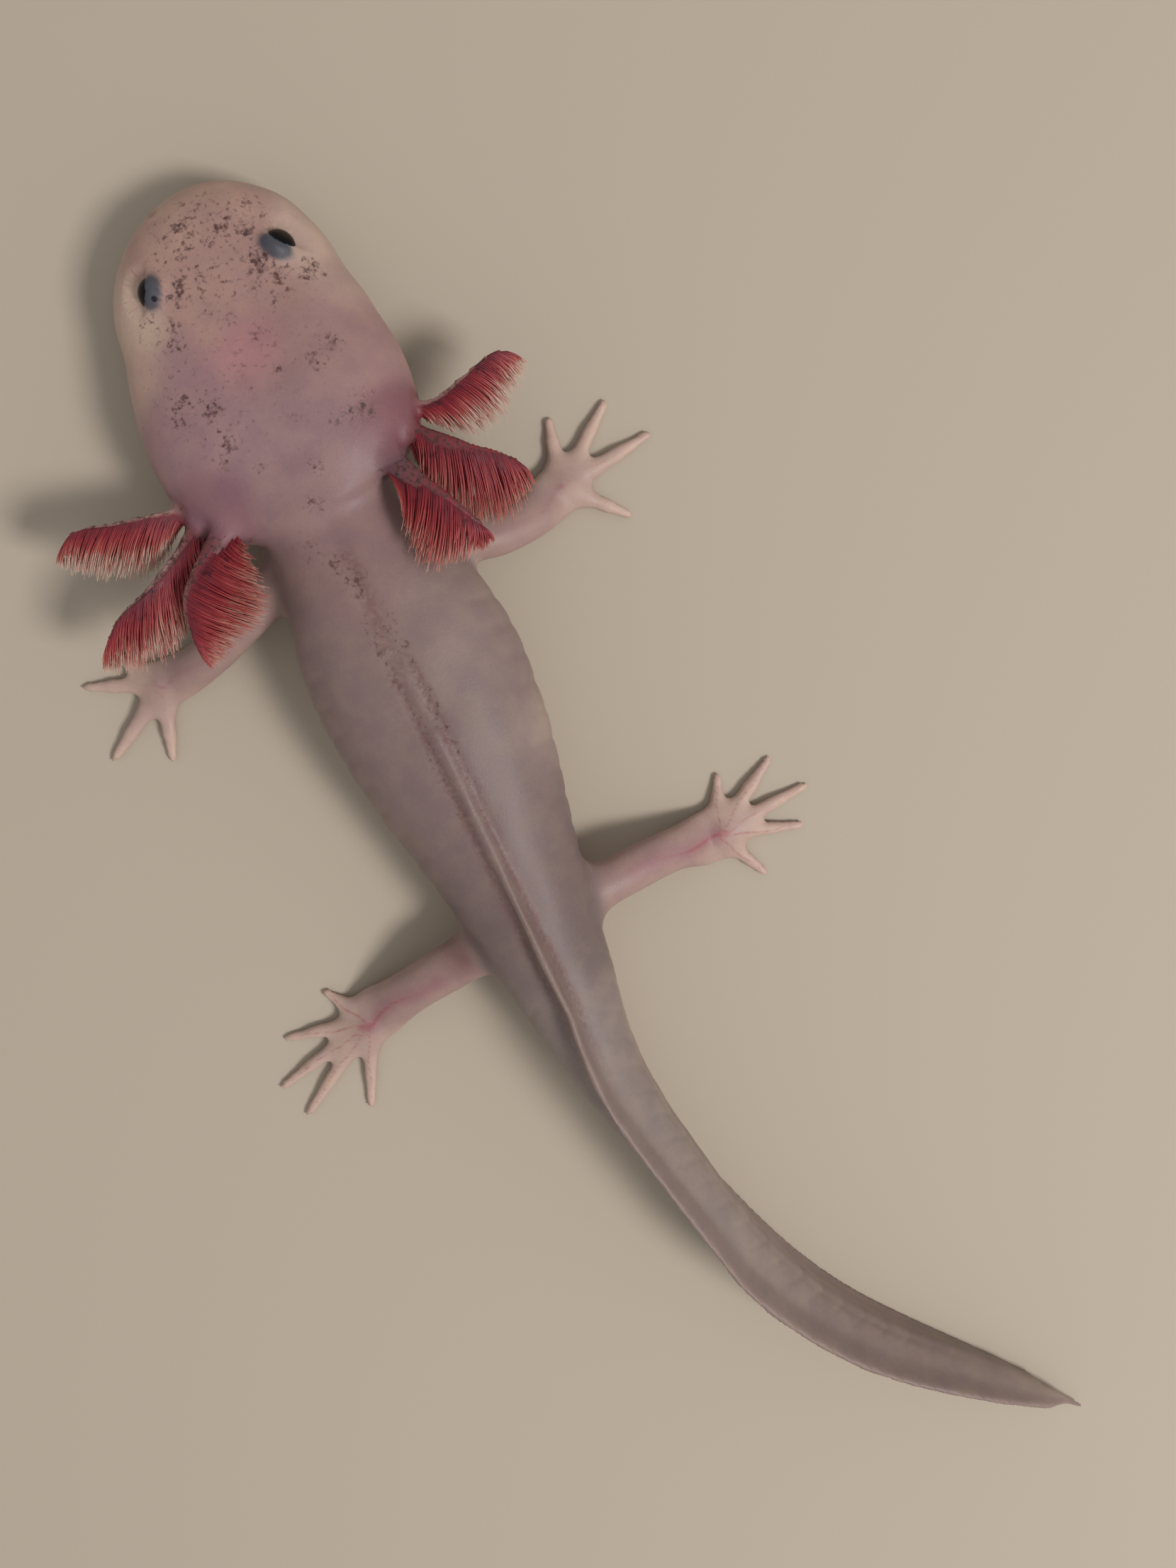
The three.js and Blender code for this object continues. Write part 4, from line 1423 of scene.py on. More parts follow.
@dataclass
class Skin:
    """The one skin over the head, trunk, tail, fins, legs and gill stalks.

    Attributes:
        tints: Its colours.
        relief: Its folds.
        floor_edge: Rounding of the flats that it rests on.
        smoothing: Rounds of smoothing after it is meshed.
        eye_rounds: How often it is fitted to each eye.
        eye_reach: How far from the eyeball that reaches.
        margin: How far it stays inside the part's box.
        tip_start: Where the tail's end starts to draw in.
        tip_pull: How far the tip draws in, as a share of its thickness.
    """

    tints: Tints = field(default_factory=Tints)
    relief: Relief = field(default_factory=Relief)
    floor_edge: float = 0.15
    smoothing: int = 3
    eye_rounds: int = 3
    eye_reach: float = 1.5
    margin: float = 0.02
    tip_start: float = 142.5
    tip_pull: float = 0.75

    NODES = ("head", "lower_jaw", "neck", "chest", "belly", "hips", "tail_base", "tail_middle", "tail_end")
    WORDS = ("dorsal_fin", "ventral_fin", "_arm", "forearm", "hand", "thigh", "shin", "foot")
    NEAR = 5.0
    NO_VESSEL = 1.5
    TOE_WIDTH = 1.2

    def build(self, material: Material) -> Object:
        """Makes the skin.

        Args:
            material: The skin's material.

        Returns:
            The skin.
        """
        low, high = (np.array(corner) / MM - ORIGIN for corner in cad_box)
        space = FleshField(low, high)
        Body().merge_into(space)
        for limb in (*LEGS, *GILLS, *EYES):
            limb.merge_into(space)
        space.rest_on_floor(self.floor_edge)
        points, quads = space.surface()
        points = relaxed(points, quads, self.smoothing)
        spots = self.spots(points)
        points = points + self.relief.movement(spots)[:, None] * face_normals(points, quads)
        points = self.pointed(points, spots)
        for eye in EYES * self.eye_rounds:
            even = relaxed(eye.open_skin(points), quads, 2)
            close = eye.away(points)[1] < EYE_RADIUS + self.eye_reach
            points = eye.open_skin(np.where(close[:, None], even, points))
        low = np.array((*(low[:2] + self.margin), 0.0))
        points = np.clip(points, low, high - self.margin)

        skin = mesh_object("skin", in_part(points), quads)
        colour_attribute(skin, "tone", self.tints.tone(spots))
        point_attribute(skin, "freckles", self.tints.freckles(spots))
        point_attribute(skin, "back_line", self.tints.back_line(spots))
        point_attribute(skin, "vessel", spots.vessel)
        point_attribute(skin, "eye_spot", points - np.array(EYE_SPOT))
        skin.data.materials.append(material)
        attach(skin, "root")
        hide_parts(*self.NODES, *self.named(*self.WORDS))
        log.info("skin: %d faces", len(quads))
        return skin

    def pointed(self, points: Array, spots: Spots) -> Array:
        """Draws the end of the tail in towards its middle, so that it ends in a point."""
        place = np.clip(spots.place, 0, BODY_LENGTH)
        _, side, up, _ = MIDLINE.axes(place)
        pull = self.tip_pull * ease(place, self.tip_start, BODY_LENGTH)[:, None]
        above = (spots.height - TRUNK.widest(place))[:, None]
        return points - pull * (spots.across[:, None] * side + above * up)

    @staticmethod
    def named(*words: str) -> list[str]:
        """Lists the part's nodes whose names hold any of some words."""
        return sorted(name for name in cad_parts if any(word in name for word in words))

    def spots(self, points: Array) -> Spots:
        """Works out where the skin's points lie."""
        place, across, height = MIDLINE.locate(points)
        half = np.where(place < HEAD_END, HEAD.sizes(np.maximum(place, 0.1))[0], TRUNK.half(place))
        outside = np.abs(across) - half
        gill, covered, front = self.on_gills(points, outside)
        leg, toe, artery, vessel = self.on_legs(points, outside)
        leg = leg * (1 - gill)
        return Spots(points, place, across, height, half, gill, covered, front, leg, toe, artery, vessel)

    def on_gills(self, points: Array, outside: Array) -> tuple[Array, Array, Array]:
        """Finds the points that lie on the gills' stalks.

        Args:
            points: The points.
            outside: How far outside the body's flesh they lie.

        Returns:
            Their measures `gill`, `covered` and `front`, as Spots describes them.
        """
        count = len(points)
        gill, covered, front = np.zeros(count), np.full(count, -1.0), np.zeros(count)
        for one in GILLS:
            distance, share = nearest_on(points, one.line.sampled(), self.NEAR)
            half = one.half_width(share)
            near = ease(distance, half + 1.4, half + 0.5)
            near = near * np.maximum(ease(outside, -1.0, 0.4), ease(share, 0.04, 0.2))
            side = ((points - one.line.at(share)) * one.outward(share)).sum(1) / half
            closer = near > gill
            gill = np.maximum(gill, near)
            covered = np.where(closer, share - one.bare, covered)
            front = np.where(closer, -side * one.margin, front)
        return gill, covered, front

    def on_legs(self, points: Array, outside: Array) -> tuple[Array, Array, Array, Array]:
        """Finds the points that lie on the legs.

        Args:
            points: The points.
            outside: How far outside the body's flesh they lie.

        Returns:
            Their measures `leg`, `toe`, `artery` and `vessel`, as Spots describes them.
        """
        count, seen = len(points), points[:, :2]
        leg, toe = np.zeros(count), np.zeros(count)
        vessel, artery = np.full(count, self.NO_VESSEL), np.full(count, self.NEAR)
        for one in LEGS:
            distance, _ = nearest_on(points, one.line.sampled(), self.NEAR)
            near = ease(distance, self.NEAR, self.NEAR - 1)
            for tip in one.toes:
                distance, share = nearest_on(points, one.toe_line(tip).sampled(), self.NEAR)
                near = np.maximum(near, ease(distance, self.NEAR, self.NEAR - 1))
                toe = np.maximum(toe, share * (distance < self.TOE_WIDTH))
            leg = np.maximum(leg, near * ease(outside, -0.2, 1.8))
            distance, share = nearest_on(seen, one.artery(), self.NEAR)
            artery = np.minimum(artery, distance + one.pallor)
            vessel = np.minimum(vessel, 0.85 * distance + 0.24 * (1 - share) ** 2 + 0.14 * one.pallor)
            for line in one.vessels():
                distance, share = nearest_on(seen, line, self.NO_VESSEL)
                vessel = np.minimum(vessel, distance + 0.06 + 0.06 * share**2 + 0.12 * one.pallor)
        return leg, toe, artery, vessel


# ---- Drawing node trees ----


class Socket(Enum):
    """What a node group's input or output carries."""

    NUMBER = "NodeSocketFloat"
    INTEGER = "NodeSocketInt"
    VECTOR = "NodeSocketVector"
    SHAPE = "NodeSocketGeometry"
    MATERIAL = "NodeSocketMaterial"


class Tree(Enum):
    """The kinds of node tree."""

    SHADER = "ShaderNodeTree"
    GEOMETRY = "GeometryNodeTree"


def new_group(name: str, kind: Tree, inputs: dict[str, Socket], outputs: dict[str, Socket]) -> NodeTree:
    """Makes an empty node group with named inputs and outputs."""
    group = bpy.data.node_groups.new(name, kind.value)
    for side, sockets in (("INPUT", inputs), ("OUTPUT", outputs)):
        for label, socket in sockets.items():
            group.interface.new_socket(label, in_out=side, socket_type=socket.value)
    return group


def shown(sockets: Sockets, name: str = "") -> NodeSocket:
    """Gives the first socket in use, of that name if one is given."""
    return next(socket for socket in sockets if socket.enabled and name in ("", socket.name))


class Sketch:
    """A node tree that is being drawn, with short ways to add nodes and join them."""

    def __init__(self, tree: NodeTree) -> None:
        """Empties the tree."""
        self.tree = tree
        tree.nodes.clear()

    def add(self, kind: str, inputs: dict | None = None, **settings: object) -> Node:
        """Adds a node.

        Args:
            kind: The node's type.
            inputs: A value or a socket for each named input.
            settings: The node's own settings.

        Returns:
            The node.
        """
        node = self.tree.nodes.new(kind)
        for name, value in settings.items():
            setattr(node, name, value)
        for name, value in (inputs or {}).items():
            self.feed(shown(node.inputs, name), value)
        return node

    def feed(self, socket: NodeSocket, value: object) -> None:
        """Links a socket to another, or sets its value."""
        if isinstance(value, NodeSocket):
            self.tree.links.new(value, socket)
        else:
            socket.default_value = value

    def operate(self, kind: str, operation: str, *values: object) -> Node:
        """Adds an operation on values, given in the order of its inputs."""
        node = self.add(kind, operation=operation)
        for socket, value in zip(node.inputs, values):
            self.feed(socket, value)
        return node

    def math(self, operation: str, *values: object) -> NodeSocket:
        """Adds an operation on numbers, and gives its result."""
        return self.operate("ShaderNodeMath", operation, *values).outputs[0]

    def vector(self, operation: str, *values: object) -> NodeSocket:
        """Adds an operation on vectors, and gives its result."""
        return shown(self.operate("ShaderNodeVectorMath", operation, *values).outputs)

    def times(self, first: object, second: object) -> NodeSocket:
        """Adds a product."""
        return self.math("MULTIPLY", first, second)

    def plus(self, first: object, second: object) -> NodeSocket:
        """Adds a sum."""
        return self.math("ADD", first, second)

    def swing(self, value: object, amount: float) -> NodeSocket:
        """Turns a value that lies round a half into one that lies round 0, `amount` times as wide."""
        return self.times(self.math("SUBTRACT", value, 0.5), amount)

    def ramp(self, value: object, low: float, high: float) -> NodeSocket:
        """Adds a smooth rise from 0 at `low` to 1 at `high`."""
        inputs = {"Value": value, "From Min": low, "From Max": high}
        return self.add("ShaderNodeMapRange", inputs, interpolation_type="SMOOTHSTEP").outputs["Result"]

    def mix(self, share: object, first: object, second: object, blend: str = "MIX") -> NodeSocket:
        """Adds a mix of two colours."""
        inputs = {"Factor": share, "A": first, "B": second}
        return shown(self.add("ShaderNodeMix", inputs, data_type="RGBA", blend_type=blend).outputs)

    def noise(self, where: object, scale: float, detail: float = 2, roughness: float = 0.5) -> NodeSocket:
        """Adds noise and gives its value, which lies round a half."""
        inputs = {"Vector": where, "Scale": scale, "Detail": detail, "Roughness": roughness}
        return self.add("ShaderNodeTexNoise", inputs).outputs["Fac"]

    def colours(self, share: object, *stops: tuple[float, Colour]) -> NodeSocket:
        """Adds a run of display colours along a share."""
        node = self.add("ShaderNodeValToRGB", {"Fac": share})
        points = node.color_ramp.elements
        while len(points) < len(stops):
            points.new(0.5)
        for point, (place, colour) in zip(points, stops):
            point.position = place
            point.color = rgba(colour)
        return node.outputs["Color"]

    def number(self, name: str) -> NodeSocket:
        """Reads a number that the mesh's points carry."""
        return self.add("ShaderNodeAttribute", attribute_name=name).outputs["Fac"]

    def millimetres(self) -> NodeSocket:
        """Gives the place on the object, in millimetres."""
        where = self.add("ShaderNodeTexCoord").outputs["Object"]
        inputs = {"Vector": where, "Scale": 1 / MM}
        return self.add("ShaderNodeVectorMath", inputs, operation="SCALE").outputs["Vector"]

    def bump(self, height: object, strength: float, depth: float) -> NodeSocket:
        """Adds a bump of that depth in millimetres, and gives the surface's new normal."""
        inputs = {"Height": height, "Strength": strength, "Distance": depth * MM}
        return self.add("ShaderNodeBump", inputs).outputs["Normal"]

    def store(self, shape: object, name: str, value: object, domain: str = "POINT") -> NodeSocket:
        """Stores a number on a shape under a name, and gives the shape."""
        inputs = {"Geometry": shape, "Name": name, "Value": value}
        kind = "GeometryNodeStoreNamedAttribute"
        return self.add(kind, inputs, data_type="FLOAT", domain=domain).outputs["Geometry"]

    def read(self, name: str) -> NodeSocket:
        """Reads a vector that a shape's points carry."""
        kind = "GeometryNodeInputNamedAttribute"
        return shown(self.add(kind, {"Name": name}, data_type="FLOAT_VECTOR").outputs)

    def random(self, kind: str, low: object, high: object, seed: object) -> NodeSocket:
        """Adds random values between two limits."""
        inputs = {"Min": low, "Max": high, "Seed": seed}
        return shown(self.add("FunctionNodeRandomValue", inputs, data_type=kind).outputs)


def rgba(colour: Colour) -> tuple[float, float, float, float]:
    """Gives a display colour as a node's linear colour."""
    return (*(float(value) for value in linear(*colour)), 1.0)


def new_material(name: str) -> tuple[Material, Sketch]:
    """Makes a material, and gives it with its empty tree."""
    made = bpy.data.materials.new(name)
    made.use_nodes = True
    return made, Sketch(made.node_tree)


class Grain:
    """The group that gives wet flesh its soft mottling and fine pores."""

    def __init__(self) -> None:
        """Builds the group."""
        inputs = {"Place": Socket.VECTOR, "Mottle Scale": Socket.NUMBER, "Pore Scale": Socket.NUMBER}
        outputs = {"Shade": Socket.NUMBER, "Height": Socket.NUMBER}
        self.group = new_group("flesh grain", Tree.SHADER, inputs, outputs)
        draw = Sketch(self.group)
        given = draw.add("NodeGroupInput").outputs
        soft = draw.noise(given["Place"], given["Mottle Scale"], 3, 0.55)
        fine = draw.noise(given["Place"], given["Pore Scale"], 3, 0.6)
        shade = draw.plus(draw.times(soft, 0.72), draw.times(fine, 0.28))
        pores = draw.add("ShaderNodeTexVoronoi", {"Vector": given["Place"], "Scale": given["Pore Scale"]})
        pitted = draw.ramp(pores.outputs["Distance"], 0.05, 0.55)
        height = draw.plus(draw.times(pitted, 0.35), fine)
        draw.add("NodeGroupOutput", {"Shade": shade, "Height": height})

    def placed(self, draw: Sketch, where: object, mottle: float, pore: float) -> tuple:
        """Places the group in a material, and gives its shade and height."""
        inputs = {"Place": where, "Mottle Scale": mottle, "Pore Scale": pore}
        node = draw.add("ShaderNodeGroup", inputs, node_tree=self.group)
        return node.outputs["Shade"], node.outputs["Height"]


# ---- Finishes ----


@dataclass(frozen=True)
class Shine:
    """How a wet surface throws back light.

    Attributes:
        roughness: Its mean roughness.
        variation: How much that changes over the surface.
        specular: Strength of its reflections.
        glow: How much light passes through the flesh.
        depth: How far that light travels, in millimetres.
    """

    roughness: float
    variation: float
    specular: float
    glow: float
    depth: float

    BLOOD_LIGHT = (1.0, 0.42, 0.3)

    def dress(self, draw: Sketch, colour: object, shade: object, normal: object) -> None:
        """Adds the surface's shader and the tree's output.

        Args:
            draw: The material's tree.
            colour: The surface's colour.
            shade: A number round a half.
            normal: The surface's normal.
        """
        inputs = {
            "Base Color": colour,
            "Roughness": draw.plus(draw.swing(shade, self.variation), self.roughness),
            "Normal": normal,
            "Specular IOR Level": self.specular,
            "Subsurface Weight": self.glow,
            "Subsurface Radius": self.BLOOD_LIGHT,
            "Subsurface Scale": self.depth * MM,
        }
        shader = draw.add("ShaderNodeBsdfPrincipled", inputs)
        draw.add("ShaderNodeOutputMaterial", {"Surface": shader.outputs["BSDF"]})


@dataclass(frozen=True)
class SkinFinish:
    """The pale skin, with its mottling, dark specks, brown line and blood vessels."""

    grain: Grain
    shine: Shine = Shine(0.5, 0.3, 0.35, 0.22, 1.1)
    mottle_scale: float = 0.42
    pore_scale: float = 4.2
    dull: Colour = (172, 168, 176)
    bright: Colour = (198, 194, 186)
    speck: Colour = (58, 38, 40)
    speck_warm: Colour = (82, 42, 38)
    speck_ring: Colour = (112, 84, 82)
    line: Colour = (112, 78, 74)
    blood: Colour = (150, 64, 68)
    eye_spot: Colour = (16, 14, 22)

    def material(self) -> Material:
        """Makes the material."""
        made, draw = new_material("skin")
        where = draw.millimetres()
        shade, height = self.grain.placed(draw, where, self.mottle_scale, self.pore_scale)
        colour = draw.add("ShaderNodeAttribute", attribute_name="tone").outputs["Color"]
        mottling = draw.colours(draw.ramp(shade, 0.36, 0.66), (0.0, self.dull), (1.0, self.bright))
        colour = draw.mix(0.6, colour, mottling, "SOFT_LIGHT")
        colour = self.veined(draw, where, colour)
        colour = self.freckled(draw, where, colour)
        self.shine.dress(draw, colour, shade, draw.bump(height, 0.55, 0.03))
        return made

    def veined(self, draw: Sketch, where: object, colour: object) -> NodeSocket:
        """Draws the blood vessels and the brown line along the back over a colour."""
        wobble = draw.swing(draw.noise(where, 1.7, 3, 0.6), 0.14)
        vessel = draw.ramp(draw.plus(draw.number("vessel"), wobble), 0.27, 0.03)
        colour = draw.mix(draw.times(vessel, 0.56), colour, rgba(self.blood))
        worn = draw.ramp(draw.noise(where, 2.2, 4, 0.7), 0.34, 0.58)
        line = draw.times(draw.number("back_line"), worn)
        return draw.mix(draw.times(line, 0.7), colour, rgba(self.line))

    def freckled(self, draw: Sketch, where: object, colour: object) -> NodeSocket:
        """Draws the specks, each with a paler ring, and the spot beside the left eye over a colour."""
        density = draw.number("freckles")
        ragged = draw.noise(where, 2.3, 5, 0.66)
        gathered = draw.noise(where, 1.1, 2, 0.5)
        blot = draw.plus(draw.times(ragged, 0.78), draw.times(gathered, 0.22))
        present = draw.ramp(density, 0.03, 0.3)
        gap = draw.plus(blot, draw.times(density, 0.14))
        ring = draw.times(draw.ramp(gap, 0.55, 0.68), present)
        speck = draw.times(draw.ramp(gap, 0.59, 0.75), present)
        dark = draw.mix(draw.ramp(gathered, 0.5, 0.62), rgba(self.speck), rgba(self.speck_warm))
        colour = draw.mix(draw.times(ring, 0.45), colour, rgba(self.speck_ring))
        colour = draw.mix(draw.times(speck, 0.85), colour, dark)
        off = draw.add("ShaderNodeAttribute", attribute_name="eye_spot").outputs["Vector"]
        return draw.mix(draw.ramp(draw.vector("LENGTH", off), 0.3, 0.19), colour, rgba(self.eye_spot))


@dataclass(frozen=True)
class FilamentFinish:
    """The gill filaments' flesh: dark with blood at the root, and pale at the tip."""

    grain: Grain
    shine: Shine = Shine(0.42, 0.2, 0.4, 0.35, 0.6)
    mottle_scale: float = 0.8
    pore_scale: float = 9.0
    run: tuple[tuple[float, Colour], ...] = (
        (0.0, (104, 32, 44)), (0.25, (138, 40, 50)), (0.46, (160, 60, 62)), (0.66, (182, 102, 94)),
        (0.9, (208, 172, 156)),
    )
    dull: Colour = (176, 172, 172)
    bright: Colour = (204, 194, 188)
    clot: Colour = (58, 22, 30)

    def material(self) -> Material:
        """Makes the material."""
        made, draw = new_material("filaments")
        where = draw.millimetres()
        shade, height = self.grain.placed(draw, where, self.mottle_scale, self.pore_scale)
        share = draw.times(draw.number("share"), draw.number("reach"))
        hue = draw.number("hue")
        along = draw.plus(draw.plus(share, draw.swing(shade, 0.5)), draw.swing(hue, 0.2))
        own = draw.colours(hue, (0.0, self.dull), (1.0, self.bright))
        colour = draw.mix(0.6, draw.colours(along, *self.run), own, "SOFT_LIGHT")
        blot = draw.ramp(draw.noise(where, 1.3, 4, 0.65), 0.6, 0.66)
        clotted = draw.times(draw.times(blot, draw.ramp(share, 0.45, 0.2)), 0.7)
        colour = draw.mix(clotted, colour, rgba(self.clot))
        self.shine.dress(draw, colour, shade, draw.bump(height, 0.4, 0.012))
        return made


@dataclass(frozen=True)
class EyeFinish:
    """The eye: a black, wet cornea with a painted brown reflection in its middle, and a blue-grey eyeball
    round it. Its angles are in degrees.
    """

    cornea: float
    shine: Shine = Shine(0.16, 0.05, 0.16, 0.0, 0.3)
    rim_softness: float = 3.0
    rim_wander: float = 9.0
    ball: tuple[Colour, Colour] = ((60, 72, 86), (84, 96, 110))
    # Brown of a painted reflection in the middle of the cornea.
    brown_reflection: Colour = (44, 32, 28)
    pupil: Colour = (10, 7, 8)

    def material(self) -> Material:
        """Makes the material."""
        made, draw = new_material("eye")
        cloud = draw.noise(draw.millimetres(), 2.4, 3, 0.6)
        angle = draw.plus(draw.number("from_gaze"), draw.swing(cloud, self.rim_wander))
        ball = draw.colours(draw.ramp(cloud, 0.36, 0.64), (0.0, self.ball[0]), (1.0, self.ball[1]))
        outer = draw.ramp(angle, self.cornea - self.rim_softness, self.cornea + self.rim_softness)
        # Painted reflection: the cornea's middle is brown up to 16 degrees from the gaze, and darkens to
        # black by 44 degrees.
        middle = draw.colours(draw.ramp(angle, 16, 44), (0.0, self.brown_reflection), (1.0, self.pupil))
        colour = draw.mix(outer, middle, ball)
        self.shine.dress(draw, colour, cloud, draw.bump(cloud, 0.1, 0.02))
        return made


@dataclass(frozen=True)
class FloorFinish:
    """The pale floor."""

    colour: Colour = (183, 172, 155)
    roughness: float = 0.85

    def material(self) -> Material:
        """Makes the material."""
        made, draw = new_material("floor")
        inputs = {"Base Color": rgba(self.colour), "Roughness": self.roughness}
        shader = draw.add("ShaderNodeBsdfPrincipled", inputs)
        draw.add("ShaderNodeOutputMaterial", {"Surface": shader.outputs["BSDF"]})
        return made


# ---- Gill filaments ----


@dataclass
class Filaments:
    """The rows of filaments on the gills' stalks, grown by one Geometry Nodes tree.

    Attributes:
        rows: Each row's angle up round the stalk.
        spacing: Distance between a row's roots.
        strands: How many strands a row's tips gather into.
        gathering: How strongly.
        root_radius: Radius at the root.
        tip_radius: Radius at the tip.
        bow: How far a filament bows towards the stalk's end.
        patch: Size of each filament's place on its map.
    """

    rows: tuple[float, ...] = (98, 70, 42, 14, -14, -42, -70)
    spacing: float = 0.13
    strands: int = 23
    gathering: float = 0.42
    root_radius: float = 0.07
    tip_radius: float = 0.022
    bow: float = 0.4
    patch: float = 0.003

    STEPS = 8
    SIDES = 5
    TAPER = 1.6
    SPREAD = 0.05
    LENGTHS = (0.66, 1.06)
    PALE_LENGTHS = (-1.5, 3.0)
    SHORTER = 0.14
    IN_STALK = 0.88
    INPUTS = {
        "Roots": Socket.SHAPE, "Root Radius": Socket.NUMBER, "Tip Radius": Socket.NUMBER,
        "Bow": Socket.NUMBER, "Paleness": Socket.NUMBER, "Seed": Socket.INTEGER, "Finish": Socket.MATERIAL,
    }

    def tree(self) -> NodeTree:
        """Makes the tree that puts a filament on each point of a mesh."""
        tree = new_group("gill filaments", Tree.GEOMETRY, self.INPUTS, {"Filaments": Socket.SHAPE})
        draw = Sketch(tree)
        given = draw.add("NodeGroupInput").outputs
        hang, lead = draw.read("hang"), draw.read("lead")
        length = draw.vector("LENGTH", hang)
        spread = draw.random("FLOAT_VECTOR", (-self.SPREAD,) * 3, (self.SPREAD,) * 3, given["Seed"])
        way = draw.vector("ADD", draw.vector("NORMALIZE", hang), spread)
        kind = "FunctionNodeAlignRotationToVector"
        upright = draw.add(kind, {"Vector": way}, axis="Z").outputs["Rotation"]
        turned = draw.add(kind, {"Rotation": upright, "Vector": lead}, axis="X", pivot_axis="Z")
        stretch = draw.random("FLOAT", *self.LENGTHS, draw.plus(given["Seed"], 1))
        size = draw.add("ShaderNodeCombineXYZ", {"X": 1.0, "Y": 1.0, "Z": draw.times(length, stretch)})
        grown = draw.add("GeometryNodeInstanceOnPoints", {
            "Points": given["Roots"], "Instance": self.filament(draw, given),
            "Rotation": turned.outputs["Rotation"], "Scale": size.outputs["Vector"],
        })
        low, high = self.PALE_LENGTHS
        reach = draw.times(draw.ramp(length, low * MM, high * MM), given["Paleness"])
        shape = draw.store(grown.outputs["Instances"], "reach", reach, "INSTANCE")
        hue = draw.random("FLOAT", 0.0, 1.0, draw.plus(given["Seed"], 2))
        shape = draw.store(shape, "hue", hue, "INSTANCE")
        real = draw.add("GeometryNodeRealizeInstances", {"Geometry": shape}).outputs["Geometry"]
        finished = draw.add("GeometryNodeSetMaterial", {"Geometry": real, "Material": given["Finish"]})
        draw.add("NodeGroupOutput", {"Filaments": finished.outputs["Geometry"]})
        return tree

    def filament(self, draw: Sketch, given: Sockets) -> NodeSocket:
        """Adds one bowed, tapering filament of unit length, standing on the origin."""
        middle = draw.add("ShaderNodeCombineXYZ", {"X": given["Bow"], "Z": 0.5}).outputs["Vector"]
        inputs = {"Resolution": self.STEPS, "Start": (0, 0, 0), "Middle": middle, "End": (0, 0, 1)}
        line = draw.add("GeometryNodeCurveQuadraticBezier", inputs).outputs["Curve"]
        inputs = {"Resolution": self.SIDES, "Radius": 1.0}
        ring = draw.add("GeometryNodeCurvePrimitiveCircle", inputs).outputs["Curve"]
        along = draw.add("GeometryNodeSplineParameter").outputs["Factor"]
        thinner = draw.math("SUBTRACT", given["Root Radius"], given["Tip Radius"])
        taper = draw.times(thinner, draw.math("POWER", along, self.TAPER))
        return draw.add("GeometryNodeCurveToMesh", {
            "Curve": draw.store(line, "share", along),
            "Profile Curve": draw.store(ring, "around", along),
            "Scale": draw.math("SUBTRACT", given["Root Radius"], taper),
            "Fill Caps": True,
        }).outputs["Mesh"]

    def roots(self, gill: Gill) -> dict[str, Array]:
        """Works out where a gill's filaments stand and which way they hang.

        Args:
            gill: The gill.

        Returns:
            The roots' points, hanging ways, stalk directions and places on the map.
        """
        found: dict[str, list[Array]] = {"points": [], "hang": [], "lead": [], "spot": []}
        whole = gill.end - gill.start
        steps = np.diff(gill.line.at(np.linspace(gill.start, gill.end, 40)), axis=0)
        length = np.linalg.norm(steps, axis=1).sum()
        for number, degrees in enumerate(self.rows):
            level, lift = math.cos(math.radians(degrees)), math.sin(math.radians(degrees))
            first = gill.start + (gill.bare - gill.start) * max(0.0, lift)
            count = int(length / self.spacing * (gill.end - first) / whole)
            shares = first + (gill.end - first) * (np.arange(count) + 0.5 + 0.25 * (number % 2)) / (count + 1)
            gathered = (np.floor(shares * self.strands) + 0.5) / self.strands
            aim = np.clip(shares + self.gathering * (gathered - shares), first, gill.end)
            roots, _ = gill.hang(shares, 0)
            from_stalk, hang = gill.hang(aim, lift)
            tips = from_stalk + hang * (1 - self.SHORTER * abs(lift))
            half = self.IN_STALK * gill.half_width(shares)[:, None]
            rise = np.array((0, 0, lift * gill.STALK_FLATNESS))
            start = roots + half * (level * gill.outward(shares) + rise)
            found["points"].append(start)
            found["hang"].append(tips - start)
            found["lead"].append(unit(gill.line.along(shares) + np.array((0, 0, 0.6 * lift))))
            row = np.full(count, (number + 0.5) / len(self.rows))
            found["spot"].append(np.stack((0.02 + 0.95 * shares, row, 0 * shares), 1))
        return {name: np.vstack(rows) for name, rows in found.items()}

    def build(self, gill: Gill, seed: int, tree: NodeTree, material: Material) -> Object:
        """Grows one gill's filaments.

        Args:
            gill: The gill.
            seed: Seed of its random sizes.
            tree: The tree that grows them.
            material: The filaments' material.

        Returns:
            The filaments, as one mesh.
        """
        roots = self.roots(gill)
        name = gill.name.replace("gill", "filaments")
        piece = mesh_object(name, in_part(roots["points"]), np.zeros((0, 3), int))
        point_attribute(piece, "hang", roots["hang"] * MM)
        point_attribute(piece, "lead", roots["lead"])
        point_attribute(piece, "spot", roots["spot"])
        modifier = piece.modifiers.new("filaments", "NODES")
        modifier.node_group = tree
        values = {
            "Root Radius": self.root_radius * MM, "Tip Radius": self.tip_radius * MM, "Bow": self.bow * MM,
            "Paleness": gill.paleness, "Seed": seed, "Finish": material,
        }
        for socket in tree.interface.items_tree:
            if socket.in_out == "INPUT" and socket.name in values:
                modifier[socket.identifier] = values[socket.name]
        grown = piece.evaluated_get(bpy.context.evaluated_depsgraph_get())
        mesh = bpy.data.meshes.new_from_object(grown)
        piece.modifiers.clear()
        piece.data = mesh
        mesh.shade_smooth()
        self.map(mesh)
        for name in ("hang", "lead", "spot", "around"):
            mesh.attributes.remove(mesh.attributes[name])
        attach(piece, "root")
        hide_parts(gill.name)
        log.info("%s: %d filaments, %d faces", piece.name, len(roots["points"]), len(mesh.polygons))
        return piece

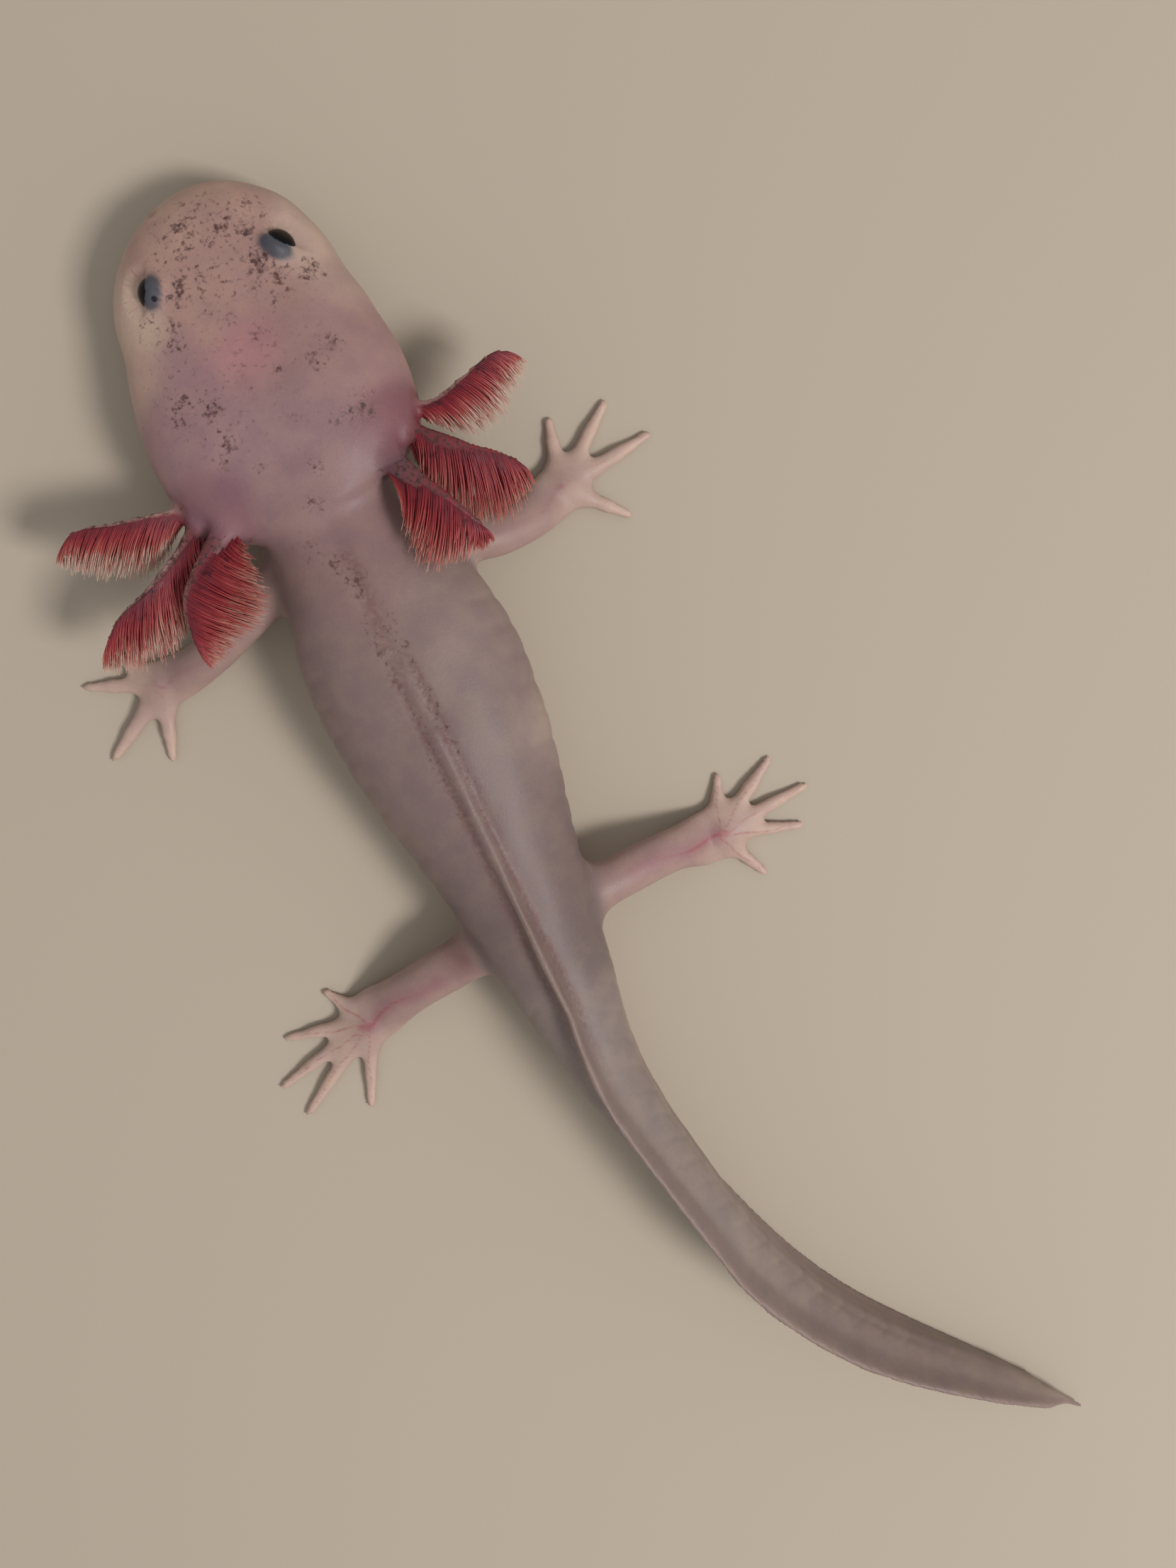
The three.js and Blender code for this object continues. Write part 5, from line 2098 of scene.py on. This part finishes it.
    def map(self, mesh: Mesh) -> None:
        """Gives each filament a small patch, at its root's place, on an unwrap of the stalk."""
        count = len(mesh.vertices)
        share, around, spot = np.empty(count), np.empty(count), np.empty(count * 3)
        mesh.attributes["share"].data.foreach_get("value", share)
        mesh.attributes["around"].data.foreach_get("value", around)
        mesh.attributes["spot"].data.foreach_get("vector", spot)
        corners = np.empty(len(mesh.loops), int)
        mesh.loops.foreach_get("vertex_index", corners)
        starts = np.empty(len(mesh.polygons), int)
        mesh.polygons.foreach_get("loop_start", starts)
        face = np.repeat(np.arange(len(starts)), np.diff(np.append(starts, len(corners))))
        turn = around[corners]
        widest = np.maximum.reduceat(turn, starts)[face]
        turn = np.where((widest > 0.75) & (turn < 0.1), 1.0, turn)
        places = spot.reshape(-1, 3)[corners, :2] + self.patch * np.stack((turn, share[corners]), 1)
        layer = mesh.uv_layers.new(name="OFBake")
        layer.data.foreach_set("uv", np.ascontiguousarray(places, np.float32).ravel())


# ---- Floor, light and camera ----


@dataclass
class Studio:
    """The floor, the lights and the camera.

    Places are in millimetres in the animal's own frame. The light's and the floor's sizes are in metres.
    """

    seen_from: Point = (-15.6, 5.0, 127.1)
    looking: Point = (0.0506, 0.2138, -0.9756)
    upwards: Point = (-0.4297, -0.8771, -0.2145)
    lens: float = 32.55
    film: float = 36.0
    key: float = 2.2
    key_size: float = 0.15
    key_way: Point = (-0.43, 0.46, 0.78)
    key_distance: float = 0.6
    key_colour: Point = (1.0, 0.96, 0.945)
    fill: float = 0.455
    fill_colour: Point = (1.0, 0.972, 0.968)
    floor_size: float = 3.0
    floor_drop: float = 0.02

    def set_up(self, floor_finish: Material) -> None:
        """Makes everything, with that material on the floor."""
        scene = bpy.context.scene
        half = self.floor_size / 2
        level = -self.floor_drop * MM
        corners = ((-half, -half, level), (half, -half, level), (half, half, level), (-half, half, level))
        floor = mesh_object("floor", np.array(corners), np.array(((0, 1, 2, 3),)))
        floor.data.materials.append(floor_finish)

        camera = linked("camera", bpy.data.cameras.new("camera"))
        camera.data.lens = self.lens
        camera.data.sensor_width = self.film
        camera.data.clip_start = 0.01
        camera.location = in_part(np.array(self.seen_from))
        back = -unit(np.array(self.looking))
        right = unit(np.cross(np.array(self.upwards), back))
        camera.rotation_euler = Matrix(np.stack((right, np.cross(back, right), back), 1).tolist()).to_euler()
        scene.camera = camera

        key = linked("key light", bpy.data.lights.new("key light", "AREA"))
        key.data.energy = self.key
        key.data.size = self.key_size
        key.data.color = self.key_colour
        way = Vector(self.key_way).normalized()
        key.location = Vector(ORIGIN * MM) + way * self.key_distance
        key.rotation_euler = way.to_track_quat("Z", "Y").to_euler()

        world = bpy.data.worlds.new("soft light")
        world.use_nodes = True
        shade = world.node_tree.nodes["Background"]
        shade.inputs["Color"].default_value = (*self.fill_colour, 1)
        shade.inputs["Strength"].default_value = self.fill
        scene.world = world
        scene.view_settings.view_transform = "Standard"


def main() -> None:
    """Builds the model."""
    logging.basicConfig(level=logging.INFO, format="%(name)s: %(message)s")
    grain = Grain()
    Skin().build(SkinFinish(grain).material())
    for eye in EYES:
        eye.build(EyeFinish(eye.cornea).material())
    filaments = Filaments()
    tree = filaments.tree()
    filament_finish = FilamentFinish(grain).material()
    for number, gill in enumerate(GILLS):
        filaments.build(gill, SEED + SEEDS_APART * number, tree, filament_finish)
    Studio().set_up(FloorFinish().material())


if __name__ == "__main__":
    main()
